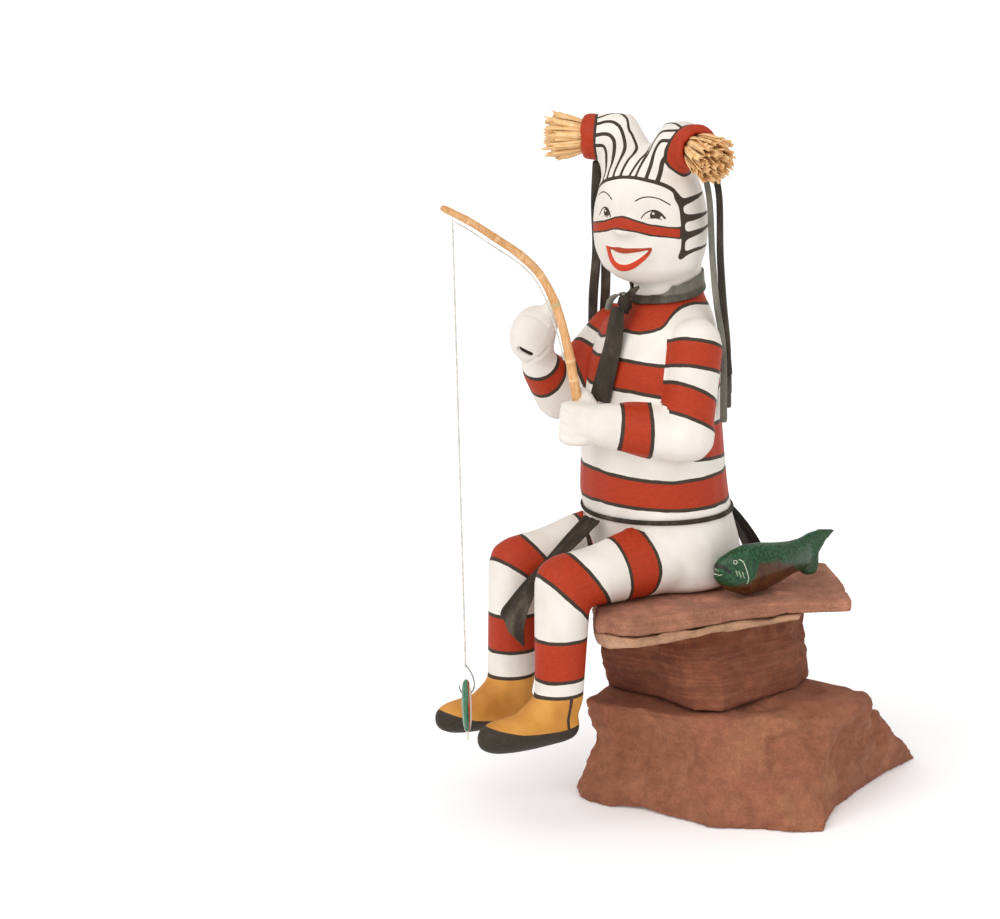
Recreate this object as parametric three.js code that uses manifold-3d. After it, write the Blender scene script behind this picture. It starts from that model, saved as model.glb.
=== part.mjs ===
// A painted pottery figure of a seated pueblo clown who fishes, on a stack of four sandstones.
// Millimetres, +Z up. The figure faces -Y, and its own left side is +X.
// The origin is on the ground, at the middle of the flat underside of the base stone.
import * as THREE from "three";
import { mergeVertices } from "three/addons/utils/BufferGeometryUtils.js";
import Module from "manifold-3d";

const wasm = await Module();
wasm.setup();

// Driving dimensions
const seatHeight = 133; // ground to the top of the top slab
const underside = 3; // the body is cut flat at this height in its own drawing, where it sits
const figurePlace = [-25.7, -46.4]; // middle of the seated figure, from the origin
const stoneTurn = 61; // degrees from the figure's left to the long side of the stones
const gap = 0.3; // between pieces that touch

const headCentre = [0, -2, 218]; // above the seat
const headTurn = 31; // degrees that the head looks to its left
const collarRadius = 14.3;
const collarWidth = 11;
const tuftRadius = 9.5; // where the husk leaves the collar
const tuftLength = 22;
const socketDepth = 6;

const armRadius = 16.3;
const thighRadius = 19;
const kneeRadius = 17;
const ankleRadius = 14.5;
const bootLength = 66;
const bootHalfWidth = 14;
const soleThickness = 8;

const leather = 1.4; // thickness of the strips, the belt and the flaps
const rodRadius = 3.1; // at the butt
const threadRadius = 0.5;
const lineLength = 262; // rod tip to the eye of the hook

// Pieces and colours
const clay = { color: "#efe9e2", roughness: 0.75, metalness: 0 };
const husk = { color: "#e8bc7c", roughness: 0.9, metalness: 0 };
const hide = { color: "#55504a", roughness: 0.85, metalness: 0 };
const twig = { color: "#d3a06b", roughness: 0.6, metalness: 0 };
const thread = { color: "#d8d4cc", roughness: 0.5, metalness: 0 };
const wire = { color: "#b8b8b4", roughness: 0.35, metalness: 1 };
const greenGlaze = { color: "#2e6b45", roughness: 0.25, metalness: 0 };
const sandstone = { color: "#a0634c", roughness: 0.95, metalness: 0 };
const paleStone = { color: "#c79a74", roughness: 0.95, metalness: 0 };

const vec = (p) => new THREE.Vector3(...p);
const curveThrough = (points) => new THREE.CatmullRomCurve3(points.map(vec));
const figure = new THREE.Group();
const stones = new THREE.Group();
const group = new THREE.Group();
group.add(figure, stones);
figure.position.set(figurePlace[0], figurePlace[1], seatHeight - underside);
stones.rotation.z = THREE.MathUtils.degToRad(stoneTurn);

// Closed geometry, with shared corners merged and its faces turned outwards
function closed(geometry) {
  const bare = geometry.clone();
  bare.deleteAttribute("normal");
  bare.deleteAttribute("uv");
  const merged = mergeVertices(bare, 1e-4);
  const corners = [];
  const index = merged.index.array;
  for (let i = 0; i < index.length; i += 3) {
    const [a, b, c] = [index[i], index[i + 1], index[i + 2]];
    if (a !== b && b !== c && c !== a) corners.push([a, b, c]);
  }
  const at = (k) => new THREE.Vector3().fromBufferAttribute(merged.attributes.position, k);
  let volume = 0;
  for (const [a, b, c] of corners) volume += at(a).dot(at(b).cross(at(c)));
  if (volume < 0) corners.forEach((corner) => corner.reverse());
  merged.setIndex(corners.flat());
  return merged;
}

function solid(geometry) {
  const body = closed(geometry);
  const vertProperties = new Float32Array(body.attributes.position.array);
  const triVerts = new Uint32Array(body.index.array);
  return new wasm.Manifold(new wasm.Mesh({ numProp: 3, vertProperties, triVerts }));
}

function geometryOf(shape) {
  const mesh = shape.getMesh();
  const geometry = new THREE.BufferGeometry();
  geometry.setAttribute("position", new THREE.BufferAttribute(mesh.vertProperties, 3));
  geometry.setIndex(new THREE.BufferAttribute(mesh.triVerts, 1));
  return geometry;
}

const joined = (parts) => parts.map(solid).reduce((whole, part) => whole.add(part));

function addPiece(parent, name, geometry, finish) {
  const mesh = new THREE.Mesh(geometry, new THREE.MeshStandardMaterial(finish));
  mesh.name = name;
  parent.add(mesh);
}

// A closed body of oval sections carried along a curve. A station is
// [place from 0 to 1, half width, half depth], and the width lies along the direction that is given.
function sweep(curve, stations, sides, across) {
  const profile = stations.map((station, i) => new THREE.Vector2(1, i));
  profile.unshift(new THREE.Vector2(0, 0));
  profile.push(new THREE.Vector2(0, stations.length - 1));
  const body = new THREE.LatheGeometry(profile, sides);
  const position = body.attributes.position;
  for (let k = 0; k < position.count; k += 1) {
    const [place, halfWidth, halfDepth] = stations[Math.round(position.getY(k))];
    const centre = curve.getPointAt(place);
    const along = curve.getTangentAt(place);
    const width = vec(across).addScaledVector(along, -along.dot(vec(across))).normalize();
    const depth = new THREE.Vector3().crossVectors(along, width);
    centre.addScaledVector(width, halfWidth * position.getX(k));
    centre.addScaledVector(depth, halfDepth * position.getZ(k));
    position.setXYZ(k, centre.x, centre.y, centre.z);
  }
  return body;
}

// Stations of a limb with round ends, from one radius to the other
function limbStations(length, startRadius, endRadius, depthRatio = 1) {
  const stations = [];
  const total = length + startRadius + endRadius;
  const angles = [18, 52];
  for (const angle of angles) {
    const [c, s] = [Math.cos(THREE.MathUtils.degToRad(angle)), Math.sin(THREE.MathUtils.degToRad(angle))];
    stations.push([(startRadius * (1 - c)) / total, startRadius * s, startRadius * s * depthRatio]);
  }
  for (const share of [0, 1]) {
    const radius = THREE.MathUtils.lerp(startRadius, endRadius, share);
    stations.push([(startRadius + length * share) / total, radius, radius * depthRatio]);
  }
  for (const angle of [...angles].reverse()) {
    const [c, s] = [Math.cos(THREE.MathUtils.degToRad(angle)), Math.sin(THREE.MathUtils.degToRad(angle))];
    stations.push([1 - (endRadius * (1 - c)) / total, endRadius * s, endRadius * s * depthRatio]);
  }
  return stations;
}

// A straight limb with round ends, from joint to joint
function limb(from, to, startRadius, endRadius, across, depthRatio = 1, sides = 12) {
  const [a, b] = [vec(from), vec(to)];
  const along = b.clone().sub(a).normalize();
  const length = a.distanceTo(b);
  const start = a.addScaledVector(along, -startRadius);
  const end = b.addScaledVector(along, endRadius);
  const stations = limbStations(length, startRadius, endRadius, depthRatio);
  return sweep(new THREE.LineCurve3(start, end), stations, sides, across);
}

// An oval ball with its three half sizes, turned and then placed
function ball(place, halfSizes, turn = [0, 0, 0], sides = 14) {
  const body = new THREE.SphereGeometry(1, sides, Math.round(sides * 0.6));
  body.scale(...halfSizes);
  body.applyMatrix4(new THREE.Matrix4().makeRotationFromEuler(new THREE.Euler(...turn)));
  body.translate(...place);
  return body;
}

// The seated body, from the flat underside up to the neck: [height, centre Y, half width, half depth]
const bodySections = [
  [underside + gap, 5, 43, 35],
  [7, 6, 50, 41],
  [16, 6, 52, 43],
  [30, 4, 51, 43],
  [44, 0.5, 49, 43],
  [60, -2.5, 47.5, 43.5],
  [85, -3, 46.5, 41.5],
  [110, -2.5, 46, 39],
  [135, -1, 46, 36],
  [150, 1, 45, 32.5],
  [160, 4, 41, 29.5],
  [168, 7, 32, 26.5],
  [175, 9, 23.5, 22],
  [181, 10, 20, 20.3],
  [196, 9.5, 20, 20.3],
];

// Middle and half sizes of the body at a height
function bodyAt(height) {
  const next = Math.max(1, bodySections.findIndex((section) => section[0] >= height));
  const [low, high] = [bodySections[next - 1], bodySections[next]];
  const share = (height - low[0]) / (high[0] - low[0]);
  return low.slice(1).map((value, i) => THREE.MathUtils.lerp(value, high[i + 1], share));
}

// Level oval rings, closed flat at both ends
function stack(sections, sides) {
  const profile = sections.map((section, i) => new THREE.Vector2(1, i));
  profile.unshift(new THREE.Vector2(0, 0));
  profile.push(new THREE.Vector2(0, sections.length - 1));
  const body = new THREE.LatheGeometry(profile, sides);
  const position = body.attributes.position;
  for (let k = 0; k < position.count; k += 1) {
    const [height, middle, halfWidth, halfDepth] = sections[Math.round(position.getY(k))];
    position.setXYZ(k, halfWidth * position.getX(k), middle + halfDepth * position.getZ(k), height);
  }
  return body;
}

// Head: level sections about the head's centre, in the head's own directions
const headSections = [
  [-33, 0, 11, 12],
  [-30, 3.5, 21.5, 23.5],
  [-23, 1.5, 29.3, 30.5],
  [-12, 0, 33.5, 33],
  [1, 0, 34.5, 34],
  [14, 0, 33, 33.5],
  [26, 0, 29.5, 30.5],
  [36, -1, 25, 26],
  [43, -2, 18, 20],
  [46, -2, 9, 10],
];
const headPlace = new THREE.Matrix4().makeRotationZ(THREE.MathUtils.degToRad(headTurn));
headPlace.setPosition(...headCentre);
const onHead = (geometry) => geometry.applyMatrix4(headPlace);

// Each horn rises from the crown and bends outwards and forwards; side is 1 on the figure's left
const horns = {
  left: { side: 1, spread: 34, forward: 9, height: 49, lean: 34, dip: 0.24, shoulder: 47.5, fullness: 0.88 },
  right: { side: -1, spread: 34.5, forward: 8, height: 52.5, lean: 19, dip: 0, shoulder: 51, fullness: 1 },
};

// Direction that the collar and the husk point in, leaning forwards by so many degrees
function hornDirection({ side, lean, dip }) {
  const turn = THREE.MathUtils.degToRad(lean);
  return new THREE.Vector3(side * Math.cos(turn), -Math.sin(turn), -dip).normalize();
}

const hornEnd = (one) => new THREE.Vector3(one.side * one.spread, -one.forward, one.height);

function hornCurve(one) {
  const inner = hornEnd(one).addScaledVector(hornDirection(one), -9);
  return new THREE.CatmullRomCurve3([
    new THREE.Vector3(one.side * 13, 0, 18),
    new THREE.Vector3(one.side * 14, -2, 34),
    new THREE.Vector3(one.side * 16, -4, one.shoulder),
    inner,
    hornEnd(one),
  ]);
}

function horn(one) {
  const stations = [
    [0, 11, 11],
    [0.05, 15, 15],
    [0.3, 16, 15.5],
    [0.5, 16, 16.5],
    [0.66, 15.5, 16.5],
    [0.8, 14, 14.5],
    [1, collarRadius - 2, collarRadius - 2],
  ];
  for (const station of stations.slice(2, -1)) station[2] *= one.fullness;
  return onHead(sweep(hornCurve(one), stations, 12, [0, 1, 0]));
}

// Puts a shape that is turned about +Y onto the end of a horn, so far beyond the collar's middle
function onHorn(shape, one, beyond) {
  const outwards = hornDirection(one);
  shape.applyQuaternion(new THREE.Quaternion().setFromUnitVectors(new THREE.Vector3(0, 1, 0), outwards));
  shape.translate(...hornEnd(one).addScaledVector(outwards, beyond));
  return onHead(shape);
}

const turned = (points, sides) => new THREE.LatheGeometry(points.map((p) => new THREE.Vector2(...p)), sides);

// A rounded ring round the end of a horn
function collar(one) {
  const half = collarWidth / 2;
  const profile = [
    [0, -half],
    [collarRadius - 3, -half],
    [collarRadius - 0.6, -half + 2],
    [collarRadius, 0],
    [collarRadius - 0.6, half - 2],
    [collarRadius - 3, half],
    [0, half],
  ];
  return onHorn(turned(profile, 14), one, 0);
}

const husksSocket = (one) => {
  const radius = tuftRadius + gap;
  const depth = socketDepth + 5;
  return onHorn(turned([[0, 0], [radius, 0], [radius, depth], [0, depth]], 12), one, -0.5);
};

// A bundle of husk, narrow in the collar and spread at its ragged end
function tuft(one) {
  const sides = 14;
  const profile = [
    [0, 0],
    [tuftRadius - 0.5, 0],
    [tuftRadius - 0.5, socketDepth],
    [tuftRadius + 3.5, socketDepth + tuftLength * 0.75],
    [tuftRadius + 4, socketDepth + tuftLength - 2],
    [tuftRadius - 1, socketDepth + tuftLength],
    [0, socketDepth + tuftLength - 1],
  ];
  const body = turned(profile, sides);
  const position = body.attributes.position;
  for (let k = 0; k < position.count; k += 1) {
    const [ray, station] = [Math.floor(k / profile.length) % sides, k % profile.length];
    if (station > 2 && station < 6) {
      const flute = 1 + 0.045 * Math.cos(ray * Math.PI) + 0.05 * Math.sin(ray * 2.3);
      const ragged = station > 3 ? 1.3 * Math.sin(ray * 1.9 + station) : 0;
      position.setXYZ(k, position.getX(k) * flute, position.getY(k) + ragged, position.getZ(k) * flute);
    }
  }
  return onHorn(body, one, gap);
}

// Arms: shoulder, elbow and wrist of each side
const leftArm = {
  shoulder: [43, 1, 153], elbow: [50, -11, 102], wrist: [22, -50, 108], forearm: [17.5, 13.5],
};
const rightArm = {
  shoulder: [-43, 0, 150], elbow: [-49.5, -37, 112.5], wrist: [-44, -53, 133], forearm: [16, 12.8],
};

function arm(joints) {
  return [
    limb(joints.shoulder, joints.elbow, armRadius, armRadius - 0.5, [0, 1, 0]),
    limb(joints.elbow, joints.wrist, ...joints.forearm, [0, 0, 1]),
  ];
}

// A closed hand: four fingers rolled round the grip, one above the other, with a thumb on top
function fist(place, grip, size, thumbBase, thumbTip) {
  const up = vec(grip).normalize();
  const reach = size + 2;
  const path = new THREE.LineCurve3(
    vec(place).addScaledVector(up, -reach),
    vec(place).addScaledVector(up, reach),
  );
  const stations = [[0.02, size * 0.5, size * 0.5]];
  for (let finger = 0; finger < 4; finger += 1) {
    const start = 0.06 + finger * 0.22;
    stations.push([start, size * 0.86, size * 0.86], [start + 0.11, size, size]);
  }
  stations.push([0.94, size * 0.86, size * 0.86], [1, size * 0.5, size * 0.5]);
  return [sweep(path, stations, 12, [1, 0, 0]), limb(thumbBase, thumbTip, 5, 4, [1, 0, 0.2], 1, 8)];
}

// Legs: hip, knee and ankle of each side, with the sole's height and how far the heel is behind the ankle
const leftLeg = {
  side: 1, hip: [29, 2, 22], knee: [32, -85.5, 20.5], ankle: [32, -90, -50], sole: -75, heel: 11,
};
const rightLeg = {
  side: -1, hip: [-29, 2, 22], knee: [-32, -80.5, 17], ankle: [-32, -86, -55], sole: -82, heel: 15,
};

function leg(joints) {
  return [
    limb(joints.hip, joints.knee, thighRadius, kneeRadius, [1, 0, 0], 1, 16),
    limb(joints.knee, joints.ankle, kneeRadius, ankleRadius, [1, 0, 0], 1, 14),
  ];
}

// A moccasin boot, swept from heel to toe, over a thick sole
function boot(joints) {
  const [x, ankleY] = joints.ankle;
  const heel = [x, ankleY + joints.heel, joints.sole + 10];
  const toe = [x + joints.side * 2, heel[1] - bootLength, joints.sole + soleThickness + 2];
  const path = new THREE.LineCurve3(vec(heel), vec(toe));
  const stations = [
    [0, 5, 5],
    [0.05, 10, 9],
    [0.16, 12.5, 10.5],
    [0.5, 13.5, 11],
    [0.7, bootHalfWidth, 10.5],
    [0.86, 11.5, 9.5],
    [0.96, 7, 7],
    [1, 3, 4],
  ];
  const [ankle, forefoot] = [[x, ankleY, joints.sole + 24], [x, ankleY - 26, joints.sole + 12]];
  const instep = limb(ankle, forefoot, 14, 8, [1, 0, 0], 1, 10);
  return [sweep(path, stations, 12, [1, 0, 0]), instep];
}

const leftFist = [8.5, -60, 108];
const rightFist = [-41, -58.5, 152.5];

// The twig rod bends forwards from the left fist: [x, y, height], and its girth swells at the nodes
const rodPath = curveThrough([
  [6, -57, 114],
  [5, -60, 136],
  [5, -63, 152],
  [5, -67, 168],
  [5, -73, 184.5],
  [5, -82, 199.5],
  [5, -94, 211],
  [5, -108, 221],
  [5, -126, 233],
  [4, -143, 242.5],
]);
const rodStations = [
  [0, 1],
  [0.12, 0.95],
  [0.2, 0.97],
  [0.3, 0.87],
  [0.4, 0.93],
  [0.5, 0.8],
  [0.62, 0.85],
  [0.75, 0.77],
  [0.88, 0.73],
  [0.985, 0.68],
  [1, 0.5],
].map(([place, girth]) => [place, girth * rodRadius, girth * rodRadius]);
const rodSocket = limb([6, -56.2, 112], [5.2, -60, 136], rodRadius + 1, rodRadius + 1, [1, 0, 0], 1, 10);
const gripHole = limb([-44, -62, 143], [-46, -68, 134], 2.2, 2.2, [1, 0, 0], 1, 8);

// A low wide nose in the middle of the face
const nose = ball([0, -32.6, 2.4], [6.6, 4.6, 5], [0, 0, 0], 8);

const bodyParts = [
  stack(bodySections, 20),
  onHead(stack(headSections, 20)),
  onHead(nose),
  ...Object.values(horns).flatMap((one) => [horn(one), collar(one)]),
  ...arm(leftArm),
  ...arm(rightArm),
  ...fist(leftFist, [0, 0.1, 1], 11.7, [5, -53, 112], [3, -50, 122]),
  ...fist(rightFist, [0.1, 0.25, 1], 13.8, [-35, -51, 164], [-32, -52, 174]),
  ...leg(leftLeg),
  ...leg(rightLeg),
  ...boot(leftLeg),
  ...boot(rightLeg),
];
const below = new THREE.BoxGeometry(150, 220, 40);
below.translate(-38 + 75, 0, underside + gap - 20);
below.rotateZ(THREE.MathUtils.degToRad(stoneTurn));
const cuts = [rodSocket, gripHole, below, ...Object.values(horns).map(husksSocket)];
const pottery = cuts
  .map(solid)
  .reduce((whole, cut) => whole.subtract(cut), joined(bodyParts));
addPiece(figure, "figure", geometryOf(pottery), clay);

for (const [name, one] of Object.entries(horns)) {
  addPiece(figure, `husk_tuft_${name}`, closed(tuft(one)), husk);
}
addPiece(figure, "rod", closed(sweep(rodPath, rodStations, 8, [1, 0, 0])), twig);

// A leather strip: points along its middle, its half width at each end, and the direction of its width
function strip(points, halfWidths, across, sides = 4, steps = 7) {
  const stations = [];
  for (let i = 0; i <= steps; i += 1) {
    stations.push([i / steps, THREE.MathUtils.lerp(halfWidths[0], halfWidths[1], i / steps), leather / 2]);
  }
  return sweep(curveThrough(points), stations, sides, across);
}

// Four strips hang from under each collar, behind the shoulder: points from top to end
const ribbons = {
  left: [
    [
      [36.5, 12.5, 252], [40.2, 13.2, 238], [41.2, 14.3, 204],
      [41.6, 16.8, 175], [42.9, 19.8, 151], [43, 20, 104],
    ],
    [
      [35.2, 19, 256], [38.8, 20.8, 240], [39, 21, 203],
      [39.8, 22.3, 174], [40.9, 23.9, 151], [41, 24.3, 112],
    ],
    [
      [37, 18, 255], [40.6, 19.4, 240], [40.9, 19.8, 203],
      [41.6, 21, 174], [42.6, 22.6, 151], [43.2, 23.9, 132],
    ],
    [
      [33.5, 20, 257.5], [36.9, 22.2, 240], [37.2, 22.7, 203],
      [38, 24, 174], [39, 25.5, 151], [39.2, 26, 120],
    ],
  ],
  right: [
    [
      [-26.5, -22.5, 255], [-36, -18, 229], [-38.2, -16.3, 201],
      [-49.6, -12.1, 174], [-62.4, -5.5, 152], [-62.7, -5.4, 138],
    ],
    [
      [-28.2, -21.3, 255.8], [-38.3, -16.7, 229], [-40.9, -14.7, 201],
      [-52.5, -10.5, 174], [-65.1, -4, 152], [-65.5, -3.9, 143],
    ],
    [
      [-31.2, -18.7, 258.3], [-36.7, -10.6, 229], [-40.2, -8.6, 201],
      [-47.5, -4.9, 174], [-61.8, 2, 152], [-62.3, 2.3, 140],
    ],
    [
      [-31.9, -15.6, 260.7], [-39.6, -9, 229], [-43.1, -7, 201],
      [-50.6, -3.2, 174], [-64.9, 3.8, 152], [-65.4, 4, 146],
    ],
  ],
};
const towardsBack = [0.485, 0.875, 0];
for (const [name, strips] of Object.entries(ribbons)) {
  strips.forEach((points, i) => {
    addPiece(figure, `ribbon_${name}_${i + 1}`, closed(strip(points, [2.3, 2.7], towardsBack)), hide);
  });
}

// Neckerchief: a sloping band round the neck, a knot in front and two tails over the chest
const band = turned([[24, 4.6], [25.6, 5], [28, -3], [26.4, -3.6], [24, 4.6]], 18);
band.rotateX(Math.PI / 2);
band.rotateX(THREE.MathUtils.degToRad(12));
band.translate(0.5, 8.6, 181.5);
const tailPath = [[6.5, -25.5, 172], [8, -33.6, 153], [8.6, -37.4, 142], [6.6, -43.2, 118.5]];
const neckerchief = joined([
  band,
  ball([6.5, -22.5, 174.5], [7.5, 5.5, 6.5], [0, 0, 0], 10),
  strip(tailPath, [6, 7.8], [0.9, 0.44, 0], 6),
]);
addPiece(figure, "neckerchief", geometryOf(neckerchief), hide);

// Belt: a thong round the waist
const beltHeight = 49;
function beltRing() {
  const corners = [[-1.6, 0.5], [-1.6, 0.5 + leather], [1.6, 0.5 + leather], [1.6, 0.5], [-1.6, 0.5]];
  const ring = turned(corners.map((corner, i) => [1, i]), 20);
  const position = ring.attributes.position;
  for (let k = 0; k < position.count; k += 1) {
    const [rise, out] = corners[Math.round(position.getY(k))];
    const height = beltHeight + rise;
    const [middle, halfWidth, halfDepth] = bodyAt(height);
    const [x, y] = [position.getX(k) * (halfWidth + out), middle + position.getZ(k) * (halfDepth + out)];
    position.setXYZ(k, x, y, height);
  }
  return ring;
}
addPiece(figure, "belt", closed(beltRing()), hide);

// Loincloth flaps hang from under the belt, in front between the knees and behind down to the slab
const frontFlap = sweep(
  curveThrough([
    [0, -45.2, 46.8], [0, -58, 37], [0, -75, 24], [-1, -90, 10], [-2, -101, -7], [-3, -103, -17],
  ]),
  [[0, 9, 0.7], [0.2, 7.5, 0.7], [0.4, 5.5, 0.7], [0.6, 6.5, 0.7], [0.8, 10, 0.7], [1, 13, 0.7]],
  8,
  [1, 0, 0],
);
addPiece(figure, "loincloth_front", closed(frontFlap), hide);
const backFlap = sweep(
  curveThrough([[0, 45, 46.8], [1, 54, 36], [2, 63, 22], [2, 70, 8]]),
  [[0, 9, 0.7], [0.3, 10, 0.7], [0.65, 12, 0.7], [1, 13, 0.7]],
  8,
  [1, 0, 0],
);
addPiece(figure, "loincloth_back", closed(backFlap), hide);

// Thread: along the underside of the rod between three ties, and then straight down from its tip
function roundSection(radius, divisions) {
  return new THREE.Shape(new THREE.Path().absarc(0, 0, radius, 0, 2 * Math.PI).getPoints(divisions));
}

function wireAlong(path, radius, divisions, steps) {
  const settings = { steps, bevelEnabled: false, extrudePath: path };
  return closed(new THREE.ExtrudeGeometry(roundSection(radius, divisions), settings));
}

const threadAlong = (path, steps) => wireAlong(path, threadRadius, 4, steps);
const [firstTie, lastTie, bow] = [0.2, 0.93, 0.5];
const rodLinePoints = [];
for (let i = 0; i <= 16; i += 1) {
  const place = THREE.MathUtils.lerp(firstTie, lastTie, i / 16);
  const along = rodPath.getTangentAt(place);
  const under = new THREE.Vector3(0, -along.z, along.y).normalize();
  const slack = bow * Math.sin((Math.PI * i) / 8) ** 2;
  const away = rodRadius + threadRadius + 2 * gap + slack;
  rodLinePoints.push(rodPath.getPointAt(place).addScaledVector(under, away));
}
addPiece(figure, "rod_line", threadAlong(new THREE.CatmullRomCurve3(rodLinePoints), 20), thread);

const lineTop = [4.3, -136.5, 235.8];
const lineEnd = [lineTop[0], lineTop[1], lineTop[2] - lineLength];
addPiece(figure, "fishing_line", threadAlong(new THREE.LineCurve3(vec(lineTop), vec(lineEnd)), 30), thread);

// Hook: an eye, a shank and a bend that goes through the hole near the top of the lure.
// Sideways is along the stones.
const hookRadius = 0.45;
const turnOfStones = THREE.MathUtils.degToRad(stoneTurn);
const sideways = new THREE.Vector3(Math.cos(turnOfStones), Math.sin(turnOfStones), 0);
function fromLine(out, down) {
  return vec(lineEnd).addScaledVector(sideways, out).add(new THREE.Vector3(0, 0, -down));
}
const hookPath = new THREE.CatmullRomCurve3([
  fromLine(0.4, 2), fromLine(2.4, 5), fromLine(4.4, 10), fromLine(4.8, 14.5), fromLine(3, 18.4),
  fromLine(0, 19.6), fromLine(-2.6, 18.4), fromLine(-3.9, 15.6), fromLine(-3.8, 13),
]);
const eye = ball(fromLine(0, 1.6).toArray(), [1.2, 1.2, 1.2], [0, 0, 0], 6);
addPiece(figure, "hook", geometryOf(joined([eye, wireAlong(hookPath, hookRadius, 3, 18)])), wire);

// Lure: a flat drop of wood that hangs edge on, with a hole for the hook
const lureHeight = 32;
const lureTop = 10.6; // below the end of the line
const lurePath = new THREE.LineCurve3(fromLine(0, lureTop), fromLine(0, lureTop + lureHeight));
const lureStations = [
  [0, 1, 2], [0.06, 2.2, 4], [0.25, 3, 6.5], [0.5, 3.2, 7.5], [0.78, 2.8, 6], [0.94, 2, 3], [1, 0.8, 1.2],
];
const lureBody = sweep(lurePath, lureStations, 10, sideways.toArray());
const holeLevel = 18.9;
const [holeStart, holeEnd] = [fromLine(-5, holeLevel).toArray(), fromLine(5, holeLevel).toArray()];
const lureHole = limb(holeStart, holeEnd, 1.9, 1.9, [0, 0, 1], 1, 8);
const [pinStart, pinEnd] = [fromLine(0, 9 + lureHeight).toArray(), fromLine(0, 15 + lureHeight).toArray()];
const lurePin = limb(pinStart, pinEnd, 0.9, 0.9, [1, 0, 0], 1, 6);
addPiece(figure, "lure", geometryOf(joined([lureBody, lurePin]).subtract(solid(lureHole))), greenGlaze);

// A loose sandstone between two outlines with as many corners, seen from above, along the stones' own length
// and depth. Its lower and upper faces are level or slope along the length. A layer is
// [share of the height, how far it stands out], and a bay is a hollow in the side near one corner.
function stone({ foot, top, low, high, layers, bay }) {
  const levels = [[0, 0], ...layers, [1, 0]];
  const profile = levels.map((level, i) => [1, i]);
  const body = turned([[0, 0], ...profile, [0, levels.length - 1]], foot.length);
  const centre = foot.reduce((sum, p) => [sum[0] + p[0] / foot.length, sum[1] + p[1] / foot.length], [0, 0]);
  const position = body.attributes.position;
  const rows = levels.length + 2;
  for (let k = 0; k < position.count; k += 1) {
    const [corner, row] = [Math.floor(k / rows) % foot.length, k % rows];
    const level = Math.min(Math.max(row - 1, 0), levels.length - 1);
    const [share, swell] = levels[level];
    const middle = row === 0 || row === rows - 1;
    const [a, b] = [foot[corner], top[corner]];
    let u = middle ? centre[0] : THREE.MathUtils.lerp(a[0], b[0], share);
    let v = middle ? centre[1] : THREE.MathUtils.lerp(a[1], b[1], share);
    const reach = Math.hypot(u - centre[0], v - centre[1]) || 1;
    let swollen = swell * (1 + 0.5 * Math.sin(corner * 2.4 + level));
    if (bay) {
      const aside = Math.min(Math.abs(corner - bay.corner), foot.length - Math.abs(corner - bay.corner));
      swollen -= bay.depth * Math.exp(-((aside / bay.width) ** 2) - ((share - bay.share) / 0.25) ** 2);
    }
    const out = swollen / reach;
    u += (u - centre[0]) * out;
    v += (v - centre[1]) * out;
    position.setXYZ(k, u, v, THREE.MathUtils.lerp(low(u), high(u), share));
  }
  return body;
}

const baseTop = 67;
const blockTop = (u) => 111.6 + 0.077 * (u + 93);
const paleTop = (u) => 121.2 + 0.03 * (u + 93);
addPiece(stones, "base_stone", closed(stone({
  foot: [
    [-107, 2], [-104, -18], [-92, -35], [-68, -44], [-46, -64], [-29, -80], [2, -83], [18, -91], [38, -90],
    [49, -48], [68, -17], [86, 11], [110, 40], [98, 66], [60, 80], [10, 86], [-45, 78], [-88, 52],
  ],
  top: [
    [-95, -18], [-102, -25], [-90, -38], [-68, -50], [-48, -62], [-39, -68], [-10, -72], [25, -68], [48, -60],
    [63, -54], [69, -47], [71, -38], [69, -25], [54, -14], [36, 2], [20, 42], [-40, 46], [-84, 4],
  ],
  low: () => 0,
  high: () => baseTop,
  layers: [[0.12, 1.5], [0.4, -0.5], [0.62, -1], [0.88, 1]],
  bay: { corner: 0, width: 1.6, share: 0.6, depth: 9 },
})), sandstone);
addPiece(stones, "block_stone", closed(stone({
  foot: [
    [-85, -8], [-57, -34], [-36, -62], [-20, -66], [8, -40],
    [29, -21], [39, 0], [31, 36], [-20, 44], [-70, 32],
  ],
  top: [
    [-90, -20], [-66, -38], [-43, -53], [-22, -50], [2, -42],
    [31, -14], [35, 8], [30, 38], [-20, 46], [-74, 32],
  ],
  low: () => baseTop + gap,
  high: (u) => blockTop(u),
  layers: [[0.15, 1], [0.5, 2], [0.85, 1]],
})), sandstone);
addPiece(stones, "pale_slab", closed(stone({
  foot: [
    [-93, -68], [-87, -82], [-66, -85], [-30, -73], [0, -66], [27, -59],
    [30, -30], [24, 20], [-20, 40], [-80, 30], [-93, -20],
  ],
  top: [
    [-95, -72], [-88, -85], [-66, -88], [-32, -76], [0, -67], [28, -60],
    [31, -30], [26, 22], [-20, 42], [-80, 32], [-95, -20],
  ],
  low: (u) => blockTop(u) + gap,
  high: (u) => paleTop(u),
  layers: [[0.5, 0.8]],
})), paleStone);
addPiece(stones, "top_slab", closed(stone({
  foot: [
    [-94, -76], [-80, -88], [-70, -90], [-32, -77], [-7, -67], [28, -61], [56, -62],
    [55, -20], [50, 26], [0, 44], [-60, 46], [-89, 20], [-93, -30],
  ],
  top: [
    [-93, -70], [-86, -84], [-72, -89], [-32, -75], [-7, -65], [27, -60], [57, -62],
    [56, -20], [51, 25], [0, 42], [-60, 44], [-88, 18], [-91, -40],
  ],
  low: (u) => paleTop(u) + gap,
  high: () => seatHeight,
  layers: [[0.35, 1], [0.8, 1.2]],
})), sandstone);

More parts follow.
